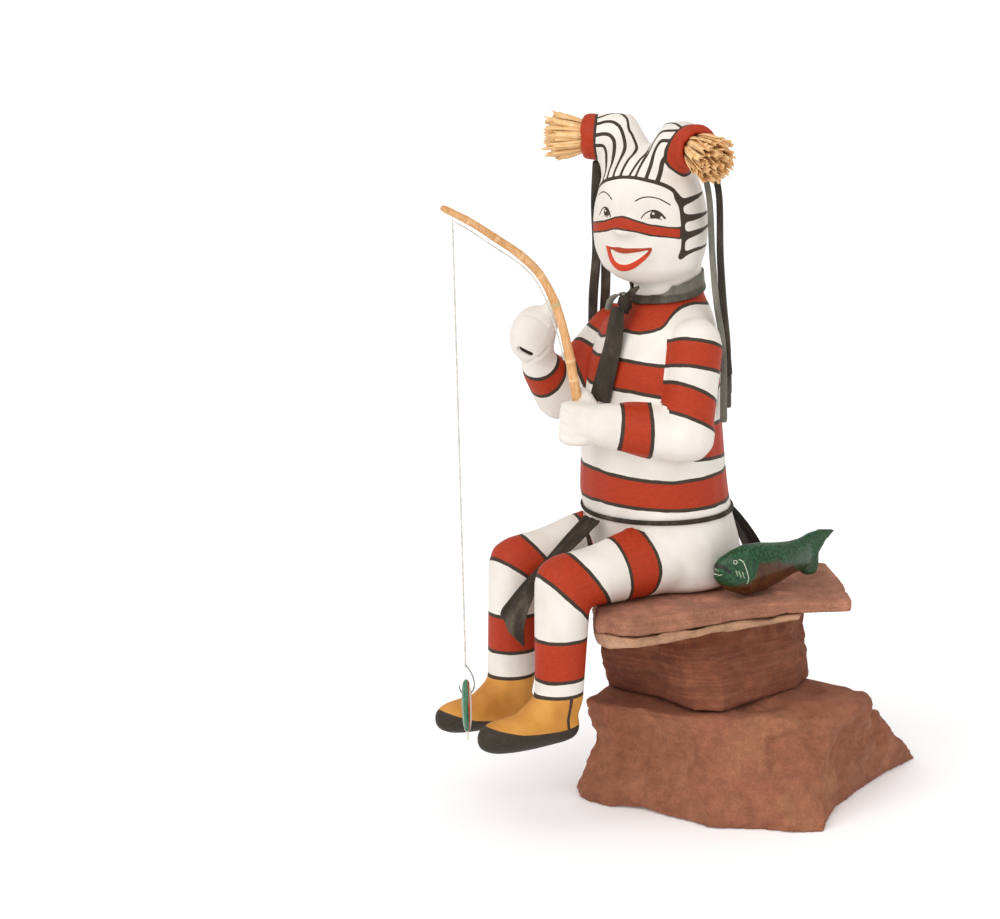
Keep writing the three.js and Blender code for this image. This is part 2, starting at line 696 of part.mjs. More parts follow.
// Fish: a carved body that lies on its belly along the slab, with an upright forked tail
const fishPath = curveThrough([
  [-23, -54, 151], [-6, -48, 149.4], [12, -36, 149.6], [28, -22, 150.5], [38, -12, 151],
]);
const fishStations = [
  [0, 2.5, 4], [0.04, 5, 8], [0.12, 7.8, 12], [0.26, 9.6, 15.8], [0.42, 9.4, 15], [0.58, 8, 12.6],
  [0.74, 6, 10.5], [0.9, 3.8, 10], [1, 2, 9],
];
const fishBody = sweep(fishPath, fishStations, 14, [-0.6, 0.8, 0]);
const tailOutline = [
  [-8, -10], [-8, 9], [2, 11.5], [11, 12], [22, 10], [14, 5], [8, -2], [8, -9], [5, -14.5], [-2, -14],
];
const tailThickness = 4;
const tailShape = new THREE.Shape(tailOutline.map((p) => new THREE.Vector2(...p)));
const tail = new THREE.ExtrudeGeometry(tailShape, { depth: tailThickness, bevelEnabled: false });
tail.translate(0, 0, -tailThickness / 2);
tail.rotateX(Math.PI / 2);
tail.rotateZ(Math.atan2(0.62, 0.78));
tail.translate(36, -14, 150.5);
const mouth = ball([-26.5, -58, 150.5], [7, 9, 1.6], [0, 0.25, 0], 8);
const ground = new THREE.BoxGeometry(200, 200, 40);
ground.translate(0, 0, seatHeight + gap - 20);
const fish = joined([fishBody, tail]).subtract(solid(mouth)).subtract(solid(ground));
addPiece(stones, "fish", geometryOf(fish), greenGlaze);

export default group;
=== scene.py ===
import math
import random

import bmesh
import bpy
import numpy as np
from mathutils import Matrix, Vector, noise
from mathutils.bvhtree import BVHTree


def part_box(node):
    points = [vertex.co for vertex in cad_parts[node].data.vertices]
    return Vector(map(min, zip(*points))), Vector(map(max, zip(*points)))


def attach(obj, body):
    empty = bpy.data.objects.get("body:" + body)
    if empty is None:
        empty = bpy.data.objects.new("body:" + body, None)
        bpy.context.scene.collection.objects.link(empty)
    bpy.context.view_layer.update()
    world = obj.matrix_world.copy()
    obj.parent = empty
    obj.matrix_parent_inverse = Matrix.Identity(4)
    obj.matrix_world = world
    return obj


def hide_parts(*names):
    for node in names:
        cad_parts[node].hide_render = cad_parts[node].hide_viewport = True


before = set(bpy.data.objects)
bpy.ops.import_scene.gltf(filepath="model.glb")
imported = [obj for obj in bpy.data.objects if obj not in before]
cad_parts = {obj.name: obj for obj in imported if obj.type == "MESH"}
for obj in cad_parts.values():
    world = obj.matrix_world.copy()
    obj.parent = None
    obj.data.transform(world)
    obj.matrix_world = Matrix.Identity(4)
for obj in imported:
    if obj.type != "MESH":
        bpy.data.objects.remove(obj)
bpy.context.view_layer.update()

# The seated pottery clown with its rod, on four sandstones. Lengths in the dictionaries are millimetres.
mm = 0.001
figurePlace = Vector((-25.7, -46.4, 130.0))  # where the figure's own drawing starts
stoneTurn = math.radians(61)  # from the figure's left to the long side of the stones
alongStones = (math.cos(stoneTurn), math.sin(stoneTurn), 0)
headTurn = math.radians(31)
headPlace = Vector((0.0, -2.0, 218.0))  # middle of the head, in the figure's drawing


def onFigure(point):
    return (Vector(point) + figurePlace) * mm


def addObject(name, data):
    thing = bpy.data.objects.new(name, data)
    bpy.context.scene.collection.objects.link(thing)
    return thing


# camera

cameraLook = {
    "place": (1.4627, -0.9789, 0.6139),  # metres
    "right": 61.0,  # degrees from +X to the picture's right
    "down": 13.0,  # degrees that the camera looks down
    "roll": -1.5,
    "lens": 108.0,
}


def makeCamera(look):
    turn, tip, roll = (math.radians(look[k]) for k in ("right", "down", "roll"))
    data = bpy.data.cameras.new("camera")
    data.lens = look["lens"]
    data.sensor_width = 36.0
    data.clip_end = 20.0
    camera = addObject("camera", data)
    level = Matrix.Rotation(turn, 4, "Z") @ Matrix.Rotation(math.pi / 2 - tip, 4, "X")
    camera.matrix_world = Matrix.Translation(look["place"]) @ level @ Matrix.Rotation(roll, 4, "Z")
    bpy.context.scene.camera = camera


makeCamera(cameraLook)


# small tools that every piece uses

def linear(code):
    parts = [int(code[i:i + 2], 16) / 255 for i in (1, 3, 5)]
    return tuple(c / 12.92 if c <= 0.04045 else ((c + 0.055) / 1.055) ** 2.4 for c in parts) + (1.0,)


def startMaterial(name, finish, *fields):
    # gives the material, the one function that adds its nodes, Object coordinates and the painted fields
    material = bpy.data.materials.new(name)
    material.use_nodes = True
    tree = material.node_tree
    tree.nodes.clear()

    def add(kind, inputs=None, out=0, stops=(), **settings):
        # adds a node, sets or links its inputs, and gives back the output that is wanted
        node = tree.nodes.new("ShaderNode" + kind)
        for name, value in settings.items():
            setattr(node, name, value)
        for name, value in (inputs or {}).items():
            if isinstance(value, bpy.types.NodeSocket):
                tree.links.new(value, node.inputs[name])
            else:
                node.inputs[name].default_value = value
        for i, (at, colour) in enumerate(stops):
            if i >= len(node.color_ramp.elements):
                node.color_ramp.elements.new(at)
            node.color_ramp.elements[i].position = at
            node.color_ramp.elements[i].color = linear(colour)
        return node.outputs[out]

    add("OutputMaterial", {"Surface": add("BsdfPrincipled", finish)}, out=slice(0))
    values = [add("Attribute", out="Fac", attribute_name=field) for field in fields]
    return material, add, add("TexCoord", out="Object"), *values


def finishMaterial(material, add, colour, coats, height, deep, strength):
    # lays each coat over the colour by its share, and gives the surface its small relief
    for share, coat, *blend in coats:
        coat = linear(coat) if isinstance(coat, str) else coat
        blend = blend[0] if blend else "MIX"
        colour = add("Mix", {0: share, 6: colour, 7: coat}, 2, data_type="RGBA", blend_type=blend)
    relief = add("Bump", {"Height": height, "Distance": deep * mm, "Strength": strength})
    tree = material.node_tree
    tree.links.new(colour, tree.nodes["Principled BSDF"].inputs["Base Color"])
    tree.links.new(relief, tree.nodes["Principled BSDF"].inputs["Normal"])
    return material


def per(size):
    return 1 / (size * mm)  # texture scale that gives features of about this many millimetres


def meshOf(bm, name="shaping"):
    mesh = bpy.data.meshes.new(name)
    bm.to_mesh(mesh)
    bm.free()
    return mesh


def newPiece(name, shape, material, slot, *stands):
    mesh = shape if isinstance(shape, bpy.types.Mesh) else meshOf(shape, name)
    mesh.materials.clear()
    mesh.materials.append(material)
    mesh.polygons.foreach_set("use_smooth", [True] * len(mesh.polygons))
    piece = addObject(name, mesh)
    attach(piece, "root")
    if stands:
        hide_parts(*stands)
    return piece


def bmeshOf(mesh):
    bm = bmesh.new()
    bm.from_mesh(mesh)
    return bm


def mergedCopy(node):
    bm = bmeshOf(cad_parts[node].data)
    bmesh.ops.remove_doubles(bm, verts=bm.verts, dist=1e-5)
    return bm


def withModifiers(bm, modifiers):
    mesh = meshOf(bm)
    holder = addObject("shaping", mesh)
    for kind, settings in modifiers:
        modifier = holder.modifiers.new(kind.lower(), kind)
        for name, value in settings.items():
            setattr(modifier, name, value)
    shaped = bpy.data.meshes.new_from_object(holder.evaluated_get(bpy.context.evaluated_depsgraph_get()))
    bpy.data.objects.remove(holder)
    bpy.data.meshes.remove(mesh)
    return shaped


def roundedMesh(bm, voxel, rounds):
    # one closed skin of small even faces over merged solids, smoothed so many rounds
    return withModifiers(bm, [
        ("REMESH", {"mode": "VOXEL", "voxel_size": voxel * mm}),
        ("SMOOTH", {"factor": 0.5, "iterations": rounds}),
    ])


def relax(bm, verts, factor):
    bmesh.ops.smooth_vert(bm, verts=verts, factor=factor, use_axis_x=True, use_axis_y=True, use_axis_z=True)


def vertexValues(mesh, kind):
    flat = np.zeros(len(mesh.vertices) * 3)
    mesh.vertices.foreach_get(kind, flat)
    return flat.reshape(-1, 3)


def movePoints(mesh, points):
    mesh.vertices.foreach_set("co", points.ravel())
    mesh.update()


def keepField(mesh, name, values):
    # keeps one number for each point, or the same for all, which a material reads by its name
    values = np.full(len(mesh.vertices), values, dtype=np.float32)
    mesh.attributes.new(name, "FLOAT", "POINT").data.foreach_set("value", values)


def awayFrom(points, spot):
    return np.linalg.norm(points - np.array(spot), axis=1)


def inBox(points, low, high):
    return ((points > low) & (points < high)).all(1)


def swelling(flat, middle, halves):
    # a soft round hill, 1 high
    return np.exp(-(((flat - np.array(middle)) / np.array(halves)) ** 2).sum(1))


def eased(share):
    return share**2 * (3 - 2 * share)


def roughness(points, size, seed, octaves):
    shift = Vector((seed * 7.3, seed * 3.1, seed * 5.7))
    return np.array([noise.fractal(Vector(p) / size + shift, 1.0, 2.0, octaves) for p in points])


def smoothPath(points, steps):
    knots = [Vector(p) for p in points]
    knots = [2 * knots[0] - knots[1]] + knots + [2 * knots[-1] - knots[-2]]
    fine = []
    for a, b, c, d in zip(knots, knots[1:], knots[2:], knots[3:]):
        first, middle, last = (math.sqrt((q - p).length) for p, q in ((a, b), (b, c), (c, d)))
        leave = ((b - a) / first - (c - a) / (first + middle) + (c - b) / middle) * middle
        arrive = ((c - b) / middle - (d - b) / (middle + last) + (d - c) / last) * middle
        for k in range(24):
            t = k / 24
            fine.append(b * (2 * t**3 - 3 * t**2 + 1) + leave * (t**3 - 2 * t**2 + t)
                        + c * (3 * t**2 - 2 * t**3) + arrive * (t**3 - t**2))
    fine.append(knots[-2])
    run = np.concatenate([[0], np.cumsum([(q - p).length for p, q in zip(fine, fine[1:])])])
    wanted = np.linspace(0, run[-1], steps + 1)
    table = np.array(fine)
    return [Vector(p) for p in np.stack([np.interp(wanted, run, table[:, i]) for i in range(3)], 1)]


def figurePath(points, steps):
    return [p + figurePlace for p in smoothPath(points, steps)]


def headings(path):
    ends = [(path[max(i - 1, 0)], path[min(i + 1, len(path) - 1)]) for i in range(len(path))]
    return [(b - a).normalized() for a, b in ends]


def roundAlong(path, radii, sides, across=(1, 0, 0)):
    bm = bmesh.new()
    loops = []
    for centre, along, radius in zip(path, headings(path), radii):
        wide = (Vector(across) - along * along.dot(Vector(across))).normalized()
        place = Matrix((wide, along.cross(wide), along)).transposed().to_4x4()
        place.translation = centre * mm
        ring = bmesh.ops.create_circle(bm, radius=radius * mm, segments=sides, matrix=place)["verts"]
        loops.append(list({edge for v in ring for edge in v.link_edges}))
    for one, other in zip(loops, loops[1:]):
        bmesh.ops.bridge_loops(bm, edges=one + other)
    bmesh.ops.holes_fill(bm, edges=loops[0] + loops[-1], sides=0)
    bmesh.ops.recalc_face_normals(bm, faces=bm.faces)
    return bm


def clothAlong(route, steps, halfWidths, across, columns, hang):
    # a strip along a route; hang gives how far each spot slides along it, lifts off it and turns about it
    path = figurePath(route, steps)
    ways = headings(path)
    bm = bmesh.new()
    for v in bmesh.ops.create_grid(bm, x_segments=columns, y_segments=steps, size=1.0)["verts"]:
        side, row = v.co.x, round((v.co.y + 1) / 2 * steps)
        share, along = row / steps, ways[row]
        wide = (Vector(across) - along * along.dot(Vector(across))).normalized()
        deep = along.cross(wide)
        slide, lift, turn = hang(side, share)
        half = float(np.interp(share, np.linspace(0, 1, len(halfWidths)), halfWidths))
        out = (wide * math.cos(turn) + deep * math.sin(turn)) * side * half
        v.co = (path[row] + out + deep * lift + along * slide) * mm
    return bm


# the painted clay figure

figureLook = {
    "voxel": 1.97,
    "polish": 11,  # rounds of smoothing
    "line": 1.1,  # half the width of a painted dark line round a band
    "faceLine": 0.5,
    "wander": 0.9,  # how far a hand-painted border strays
    "paints": {
        # stops of each paint's brushed or cloudy tones
        "slip": ((0.36, "#DDD5CC"), (0.66, "#E9E3DB")),
        "ochre": ((0.34, "#B5762C"), (0.5, "#C98A3C"), (0.68, "#D99D4C")),
        "red": ((0.28, "#9C2C0B"), (0.7, "#B23510")),
        "dark": ((0.3, "#32281E"), (0.7, "#403427")),
        "sole": ((0.3, "#2A231C"), (0.7, "#3B3228")),
        "lips": ((0.3, "#C2391B"), (0.7, "#D2421F")),
    },
    # painted shade: a darker red on the upper lip, where it overhangs the mouth
    "upperLipShade": "#A33A1C",
    # how the thighs swell in front of the belt: middle, half sizes, how far, and up to which height
    "lap": ((29, -37), (13, 19), 5.5, 46),
}

# brush strokes on the head, in the head's own directions from its middle: points, half width at each end
headStrokes = {
    "forehead": (
        (((0, -28, 32.5), (5, -27.4, 32.2), (10.7, -26.1, 31.1), (17.1, -23.2, 29.3), (21.4, -20, 27),
          (24.6, -17.6, 24.2), (26.8, -16.6, 20)), (0.95, 1.4)),
    ),
    "cheeks": (
        (((26.8, -16.6, 20), (28.6, -16.2, 13.6), (29.2, -16.2, 7.4), (29.6, -16.4, 1.3),
          (29.4, -16, -6), (28, -16, -14.2)), (1.5, 1.4)),
        (((28.9, -13, 17.5), (30.6, -6.9, 18.4), (30.7, 4, 19.7), (29.5, 10, 20.3)), (2.0, 0.6)),
        (((30.5, -13.2, 8.1), (32.3, -8.7, 8), (32.5, 7.2, 8.4), (31, 13, 8.8)), (2.2, 0.6)),
        (((30.9, -13.4, -2), (33, -8.3, -1.3), (33.5, 6.1, 0.3), (31.5, 13, 0.8)), (2.2, 0.6)),
        (((28.2, -15.6, -13.6), (32.1, -8.7, -11.6), (32.5, 6.8, -10.7), (31, 12, -10.3)), (1.5, 0.6)),
    ),
    "leftHorn": (
        (((30.5, -15, 60), (26.2, -12, 61.2), (21.2, -8.7, 62.3), (17, -7.2, 61.5), (12.5, -7, 57.5),
          (8.5, -9, 52.5), (6.3, -13, 48), (5.2, -19, 43.6), (3.1, -24.7, 38.4), (0.6, -28, 32.8)),
         (0.85, 0.7)),
        (((28, -14.2, 58.3), (24.5, -14, 58.5), (17.2, -14.7, 58.6), (13.5, -14.4, 56.5), (10, -14, 52),
          (7.9, -15.5, 47.5), (7, -20.5, 42.5), (5.9, -24.9, 37.7), (4.6, -27.4, 32.4)), (0.95, 0.7)),
        (((27, -17, 53.6), (21.2, -17.5, 53.2), (16.8, -18, 53), (13.6, -17.7, 49.6),
          (11.8, -18.1, 44.2), (11.5, -21.7, 38.4), (10.6, -26, 31.4)), (1.05, 1.1)),
        (((27.5, -16.5, 46.5), (22.5, -17.6, 45), (19.8, -18.2, 43.6), (17.7, -18.2, 40.9),
          (17.1, -20.1, 34.9), (16.6, -23.3, 29.7)), (1.3, 1.4)),
    ),
    "rightHorn": (
        (((-31, -15, 63), (-25.5, -10.7, 64.6), (-18.7, -4.7, 66.2), (-11, -8.1, 63.6),
          (-5.6, -11.9, 58.8), (-3.5, -11.3, 53.5), (-2.2, -12, 47.4), (-1.8, -19.1, 43.4),
          (-3.8, -24.8, 38.2), (-5.5, -27.5, 32.2)), (0.95, 0.95)),
        (((-32, -17.8, 59.6), (-26.5, -16.1, 60.9), (-21, -14.1, 62.4), (-16.2, -13.6, 61.8),
          (-10.9, -15.1, 59), (-8, -16.1, 53.9), (-7.3, -16.7, 48.6), (-8.4, -19.7, 42.7),
          (-9.6, -23.3, 37.7), (-10.9, -25.8, 31.5)), (1.1, 1.0)),
        (((-32, -19.5, 53.8), (-26, -18.9, 54.7), (-21.1, -17.9, 55.6), (-16.6, -18, 55.1),
          (-13.7, -18.7, 52.2), (-13.5, -18.9, 45.9), (-15, -20, 38.6), (-16.3, -23.4, 30.2)), (1.1, 1.1)),
        (((-31.5, -18.3, 49), (-25, -18.1, 48.8), (-20.7, -18, 48.5), (-19.3, -17.8, 45.6),
          (-19.9, -18, 38.2), (-21, -20.2, 28.2)), (1.1, 1.0)),
    ),
}
# the face, seen from in front: distances to its left and upwards from the middle of the head
faceLook = {
    "band": ((0, 5, 10, 15, 22, 29), (10.2, 9.3, 7.5, 6.0, 4.6, 3.0), (3.9, 3.0, 1.5, 0.3, -1.2, -2.9)),
    "bandPeak": -1.4,
    "bandEnd": 28.9,
    "lid": ((-6, -2.6, 0, 2.6, 5), (0, 2.0, 2.3, 1.3, -1.5)),  # its edge, from the middle of an iris
    "lidBelow": 2.0,
    "lipsOutside": ((-13, -7.3), (-8.6, -7.9), (-3.6, -7.7), (1.6, -8), (6.6, -7.8), (11.4, -7.7),
                    (16.4, -7.6), (14.5, -12), (9.6, -16.8), (3.4, -20.9), (-3.4, -22.6), (-7.7, -21.5),
                    (-11.4, -17.5), (-12.3, -11.9)),
    "lipsInside": ((-9.4, -9.2), (-7.4, -9.6), (-4.2, -10.7), (1.4, -11.1), (6.4, -10.4), (11, -9.6),
                   (14.6, -8.9), (11.4, -12.1), (6.2, -15.6), (1, -17.8), (-4, -17.9), (-6.9, -16.1),
                   (-8.4, -12.4)),
    "strokes": (
        (((6.3, 19.4), (9.6, 21.1), (13.5, 21.6), (18.3, 20.5), (21.8, 18.2), (23.8, 16.6)), (0.42, 0.3)),
        (((-9.6, 19.4), (-12.4, 21.5), (-16, 22.8), (-19.5, 22.3), (-23, 20.2)), (0.42, 0.3)),
        (((10.2, 9.6), (11.8, 12), (14.5, 13.6), (17, 13.8), (19.6, 12.4), (22, 9.2)), (0.32, 0.55)),
        (((12.2, 8.9), (15, 9.6), (18, 9.4), (20.4, 8.6)), (0.12, 0.3)),
        (((-19.6, 9.4), (-18.2, 12.2), (-15.6, 14.2), (-13, 14), (-11, 12.2), (-10, 9.6)), (0.32, 0.55)),
        (((-17.6, 8.8), (-15, 9.3), (-12, 8.9)), (0.12, 0.25)),
    ),
    "irises": (((17.4, 11.2), 2.9), ((-13.4, 11.6), 2.6)),
    "glints": (((16.2, 12.1), 0.65), ((-14.6, 12.3), 0.6)),
    "nose": ((0, 1.4), (6.8, 4.2), 2.6),
    "muzzle": 1.9,
    # boxes in the head's own directions, as lowest and highest corner
    "painted": ((-29, -99, -26), (29, -10, 26)),
    "shaped": ((-32, -99, -34), (32, -10, 32)),
    "fine": ((-29, -99, -26), (29, -14, 25)),
    "eyes": ((6.5, -99, 7.5), (24.5, -14, 24)),  # on both sides
    # soft swellings and dips, the same on both sides: middle, half sizes, how far each stands out
    "reliefs": (((18.5, -4.5), (6, 5), 0.9), ((15.5, 13), (6.5, 5), -0.8), ((0, -26.5), (7, 3.5), 0.4)),
}
collarLook = {
    # middle and direction of each horn's collar, in the figure's drawing, and how far behind the red starts
    "ends": (((33.8, 7.8, 267), (0.97, -0.05, -0.24), 5.4),
             ((-25.5, -26.6, 270.5), (-0.643, -0.766, 0), 4.5)),
    "radius": 18,  # the red stays this near the horn's middle line
    "reach": 12,  # and ends this far past the collar
}
# painted borders, as points taken on them, in the figure's drawing
torsoBorders = {
    # turn from the front towards the figure's left, and height, along each border of the body
    "yoke": ((-180, 171.6), (-146, 171.6), (-117, 170.5), (-95, 164), (-60, 153), (-29, 152.5),
             (-8, 156), (17, 159.3), (29, 158.8), (40, 158.9), (55, 160.4), (64, 162.1), (68.5, 163.7),
             (72, 165.5), (75, 167.1), (81.5, 169.5), (88, 171.3), (96, 172.6), (106, 173.5),
             (117, 173.8), (146, 171.6)),
    "chestTop": ((-180, 143), (-60, 142.4), (-22, 142.6), (5, 143.8), (26, 143.3), (46, 142.8),
                 (61, 141.9), (90, 142)),
    "chestFoot": ((-180, 124), (-90, 124), (-30, 126), (0, 126.6), (38, 126.2), (52, 124.9), (60, 124.1),
                  (90, 124)),
    "elbowTop": ((0, 104), (180, 104)),
    "elbowFoot": ((-180, 81.6), (-135, 81.6), (-90, 85), (-60, 89), (-30, 92), (0, 93), (30, 92),
                  (60, 89), (90, 85), (135, 81.6)),
    "waistTop": ((-180, 74), (-135, 74), (-90, 75), (-45, 77.2), (-18, 77.4), (8, 77.3), (25, 75.9),
                 (40, 74.9), (54, 73.9), (69, 72.9), (85, 73.2), (107, 73.6), (135, 73.8)),
    "waistFoot": ((-180, 55.5), (-90, 56.4), (-45, 57.6), (-17, 58.2), (8, 58.8), (25, 58.4), (39, 57.7),
                  (53, 57), (69, 56.1), (85, 55.6), (104, 55.5)),
}
armBorders = {
    "left": {
        "joints": ((43, 1, 153), (50, -11, 102), (22, -50, 108), (8.5, -60, 108)),
        "girths": ((16.3, 15.8), (17.5, 13.5), (13.5, 15)),
        "elbow": 0.25,
        "upper": (
            ((40.8, -13.9, 157.3), (52.6, -9, 159.1), (55.8, 10.2, 153.2)),
            ((41.2, -17.1, 142.3), (56.4, -11.7, 144.1), (54.5, 10.2, 137.1)),
            ((39.5, -19, 132.2), (58.8, -13.4, 132.9), (61.1, 1.5, 124.4)),
            ((47.3, -25.5, 118.3), (62.3, -15.9, 115), (63.5, -3.7, 108.3)),
        ),
        "lower": (
            ((45.8, -31.9, 117.3), (51.3, -34, 109.7), (51.3, -35.1, 101), (36.1, -28.6, 87.4)),
            ((35.7, -44.8, 118.2), (40.4, -47.9, 109.6), (39.1, -48.4, 100.5), (33.3, -46.7, 94.3)),
        ),
    },
    "right": {
        "joints": ((-43, 0, 150), (-49.5, -37, 112.5), (-44, -53, 133), (-41, -58.5, 152.5)),
        "girths": ((16.3, 15.8), (16, 12.8), (12.8, 17)),
        "elbow": 0.3,
        "upper": (
            ((-45, 16, 168),),
            ((-45.9, -18, 153.9), (-38, -18.1, 152)),
            ((-51.1, -25.6, 145.3), (-43.2, -25.7, 146.5), (-38.3, -23.9, 145.6), (-34.4, -22.8, 142.5)),
            ((-41.9, -32.8, 137.6), (-34.7, -32.8, 128.9), (-33, -31.6, 124.4), (-32.7, -30.2, 120.7)),
        ),
        "lower": (
            ((-48.3, -57, 115.8), (-41.2, -55.4, 115.3), (-35.9, -51.5, 116.7), (-32.9, -47.4, 120.8),
             (-32.7, -44.5, 125.5)),
            ((-41.1, -63.1, 126.9), (-34.8, -58.8, 127.1), (-32.3, -54.4, 128.3), (-31.9, -50, 132.4),
             (-33.8, -47.1, 135.8)),
        ),
    },
}
legBorders = {
    "left": {
        "joints": ((29, 2, 22), (32, -85.5, 20.5), (32, -90, -50)),
        "girths": ((19, 17), (17, 14.5)),
        "thigh": (
            ((39.7, -30.3, 36.6), (47.5, -28.4, 25.8), (44.1, -30, 10.1)),
            ((39.2, -50.6, 36.5), (47.6, -49.2, 26), (45.6, -46.8, 11.9)),
            ((30.3, -81.3, 37.4), (45, -78, 31.1), (48.8, -70.4, 20.6), (43.9, -61.6, 9)),
            ((34.5, -100.8, 26.3), (45.6, -95.5, 19.6), (48.2, -87.2, 11.1), (44.7, -76.5, 0.7)),
        ),
        "shin": (-12, -35.7, -45),
        "sole": ((-143, -57), (-133.3, -60.3), (-122, -63.4), (-111.5, -64.9), (-94.4, -66), (-74, -64.6)),
    },
    "right": {
        "joints": ((-29, 2, 22), (-32, -80.5, 17), (-32, -86, -55)),
        "girths": ((19, 17), (17, 14.5)),
        "thigh": (
            ((-14, -22, 43),),
            ((-13.9, -40.4, 43.3),),
            ((-28.6, -76.5, 33.7), (-15.9, -71, 24.5)),
            ((-27.8, -95.2, 22.5), (-15.5, -83.8, 14.2)),
        ),
        "shin": (-12, -34, -50),
        "sole": ((-142, -63), (-135.3, -66.5), (-127, -70), (-117, -73.4), (-98, -77), (-75, -79)),
    },
}


def beyondBorder(points, marks, along):
    # distance past the flat border that passes nearest to the marks and stands nearly square to the limb
    marks = np.array(marks, dtype=float)
    along = np.array(Vector(along).normalized())
    side = np.array(Vector(along).orthogonal().normalized())
    other = np.cross(along, side)
    middle = marks.mean(0)
    rows = np.stack([(marks - middle) @ side, (marks - middle) @ other], 1)
    rows = np.vstack([rows, np.eye(2) * 1.2])
    goal = np.concatenate([-(marks - middle) @ along, [0, 0]])
    a, b = np.linalg.lstsq(rows, goal, rcond=None)[0]
    normal = along + a * side + b * other
    return (points - middle) @ (normal / np.linalg.norm(normal))


def awayFromLimb(points, one):
    # distance from the limb's surface, which of its parts is nearest, and how far along that part
    aways, shares = [], []
    for a, b, (start, end) in zip(one["joints"], one["joints"][1:], one["girths"]):
        a, b = np.array(a, float), np.array(b, float)
        t = np.clip((points - a) @ (b - a) / ((b - a) @ (b - a)), 0, 1)
        aways.append(np.linalg.norm(points - a - t[:, None] * (b - a), axis=1) - start - (end - start) * t)
        shares.append(t)
    part = np.argmin(aways, axis=0)
    return np.min(aways, axis=0), part, np.choose(part, shares)


def between(*fields):
    return np.minimum.reduce(fields)


bandLook = {
    "far": -50.0,  # where there is no paint of a kind
    "neck": (181, 8.6, 0.21),  # the yoke's upper edge: its height, how far back that is, its slope
    "leg": (1.6, 46),  # how far from a leg its own paint still counts, and up to which height
    "arm": 0.9,
    "farArm": 2.5,  # its own paint reaches that much further
    "hand": 24,  # everything this near a hand's middle counts as arm
    "overlap": 3,  # past the figure's middle
    "seam": (1.1, 0.5, 0.06, 34),  # half width, how far behind the ankle, its lean, how far out it starts
}


def paintedBands(points, normals, look):
    p = points
    turn = np.degrees(np.arctan2(p[:, 0], -p[:, 1]))
    level = {name: np.interp(turn, *zip(*marks), period=360) for name, marks in torsoBorders.items()}
    z = p[:, 2]
    steep = np.sqrt(np.clip(1 - normals[:, 2] ** 2, 0.12, 1))  # heights lie further apart on a slope
    height, back, slope = look["neck"]
    body = np.maximum.reduce([
        between(z - level["yoke"], height + (p[:, 1] - back) * slope - z),
        between(level["chestTop"] - z, z - level["chestFoot"]),
        between(level["elbowTop"] - z, z - level["elbowFoot"]),
        between(level["waistTop"] - z, z - level["waistFoot"]),
    ]) / steep
    legs, legSide, ochre, sole, seam = (np.full(len(p), look["far"]) for _ in range(5))
    nearLeg, legTop = look["leg"]
    halfSeam, behind, lean, outside = look["seam"]
    for side, one in legBorders.items():
        hip, knee, ankle = (Vector(j) for j in one["joints"])
        bend = ((knee - hip).normalized() + (ankle - knee).normalized()).normalized()
        ways = (knee - hip, knee - hip, bend, bend)
        lines = [beyondBorder(p, marks, way) for marks, way in zip(one["thigh"], ways)]
        shinTop, shinFoot, bootTop = one["shin"]
        red = np.maximum.reduce([
            between(lines[0], -lines[1]),
            between(lines[2], -lines[3]),
            between(shinTop - z, z - shinFoot),
        ])
        out = p[:, 0] * (1 if side == "left" else -1)
        ownSide = out + look["overlap"]
        legs = np.where(out > 0, red, legs)
        legSide = np.maximum(legSide, between(nearLeg - awayFromLimb(p, one)[0], ownSide))
        overSole = z - np.interp(p[:, 1], *zip(*one["sole"]))
        underTop = bootTop - z
        ochre = np.maximum(ochre, between(underTop, overSole, ownSide))
        sole = np.maximum(sole, between(-overSole, ownSide, underTop))
        onSeam = halfSeam - np.abs(p[:, 1] - (ankle.y + behind - underTop * lean))
        seam = np.maximum(seam, between(onSeam, underTop, overSole, out - outside))
    arms = {}
    for side, one in armBorders.items():
        shoulder, elbow, wrist = (Vector(j) for j in one["joints"][:3])
        upper = [beyondBorder(p, marks, elbow - shoulder) for marks in one["upper"]]
        lower = [beyondBorder(p, marks, wrist - elbow) for marks in one["lower"]]
        away, part, share = awayFromLimb(p, one)
        upperRed = np.maximum(between(upper[0], -upper[1]), between(upper[2], -upper[3]))
        lowerRed = between(lower[0], -lower[1])
        bent = np.where(share < one["elbow"], upperRed, lowerRed)
        arms[side] = (np.choose(part, (upperRed, bent, lowerRed)), away)
    left = p[:, 0] > 0
    onArm = np.where(left, arms["left"][1], arms["right"][1] - look["farArm"])
    for one in armBorders.values():
        onArm = np.minimum(onArm, awayFrom(p, one["joints"][3]) - look["hand"])
    return {
        "bodyRed": body,
        "legRed": legs,
        "legSide": np.minimum(legSide, legTop - z),
        "armRed": np.where(left, arms["left"][0], arms["right"][0]),
        "armSide": look["arm"] - onArm,
        "ochre": ochre,
        "sole": sole,
        "seam": seam,
    }


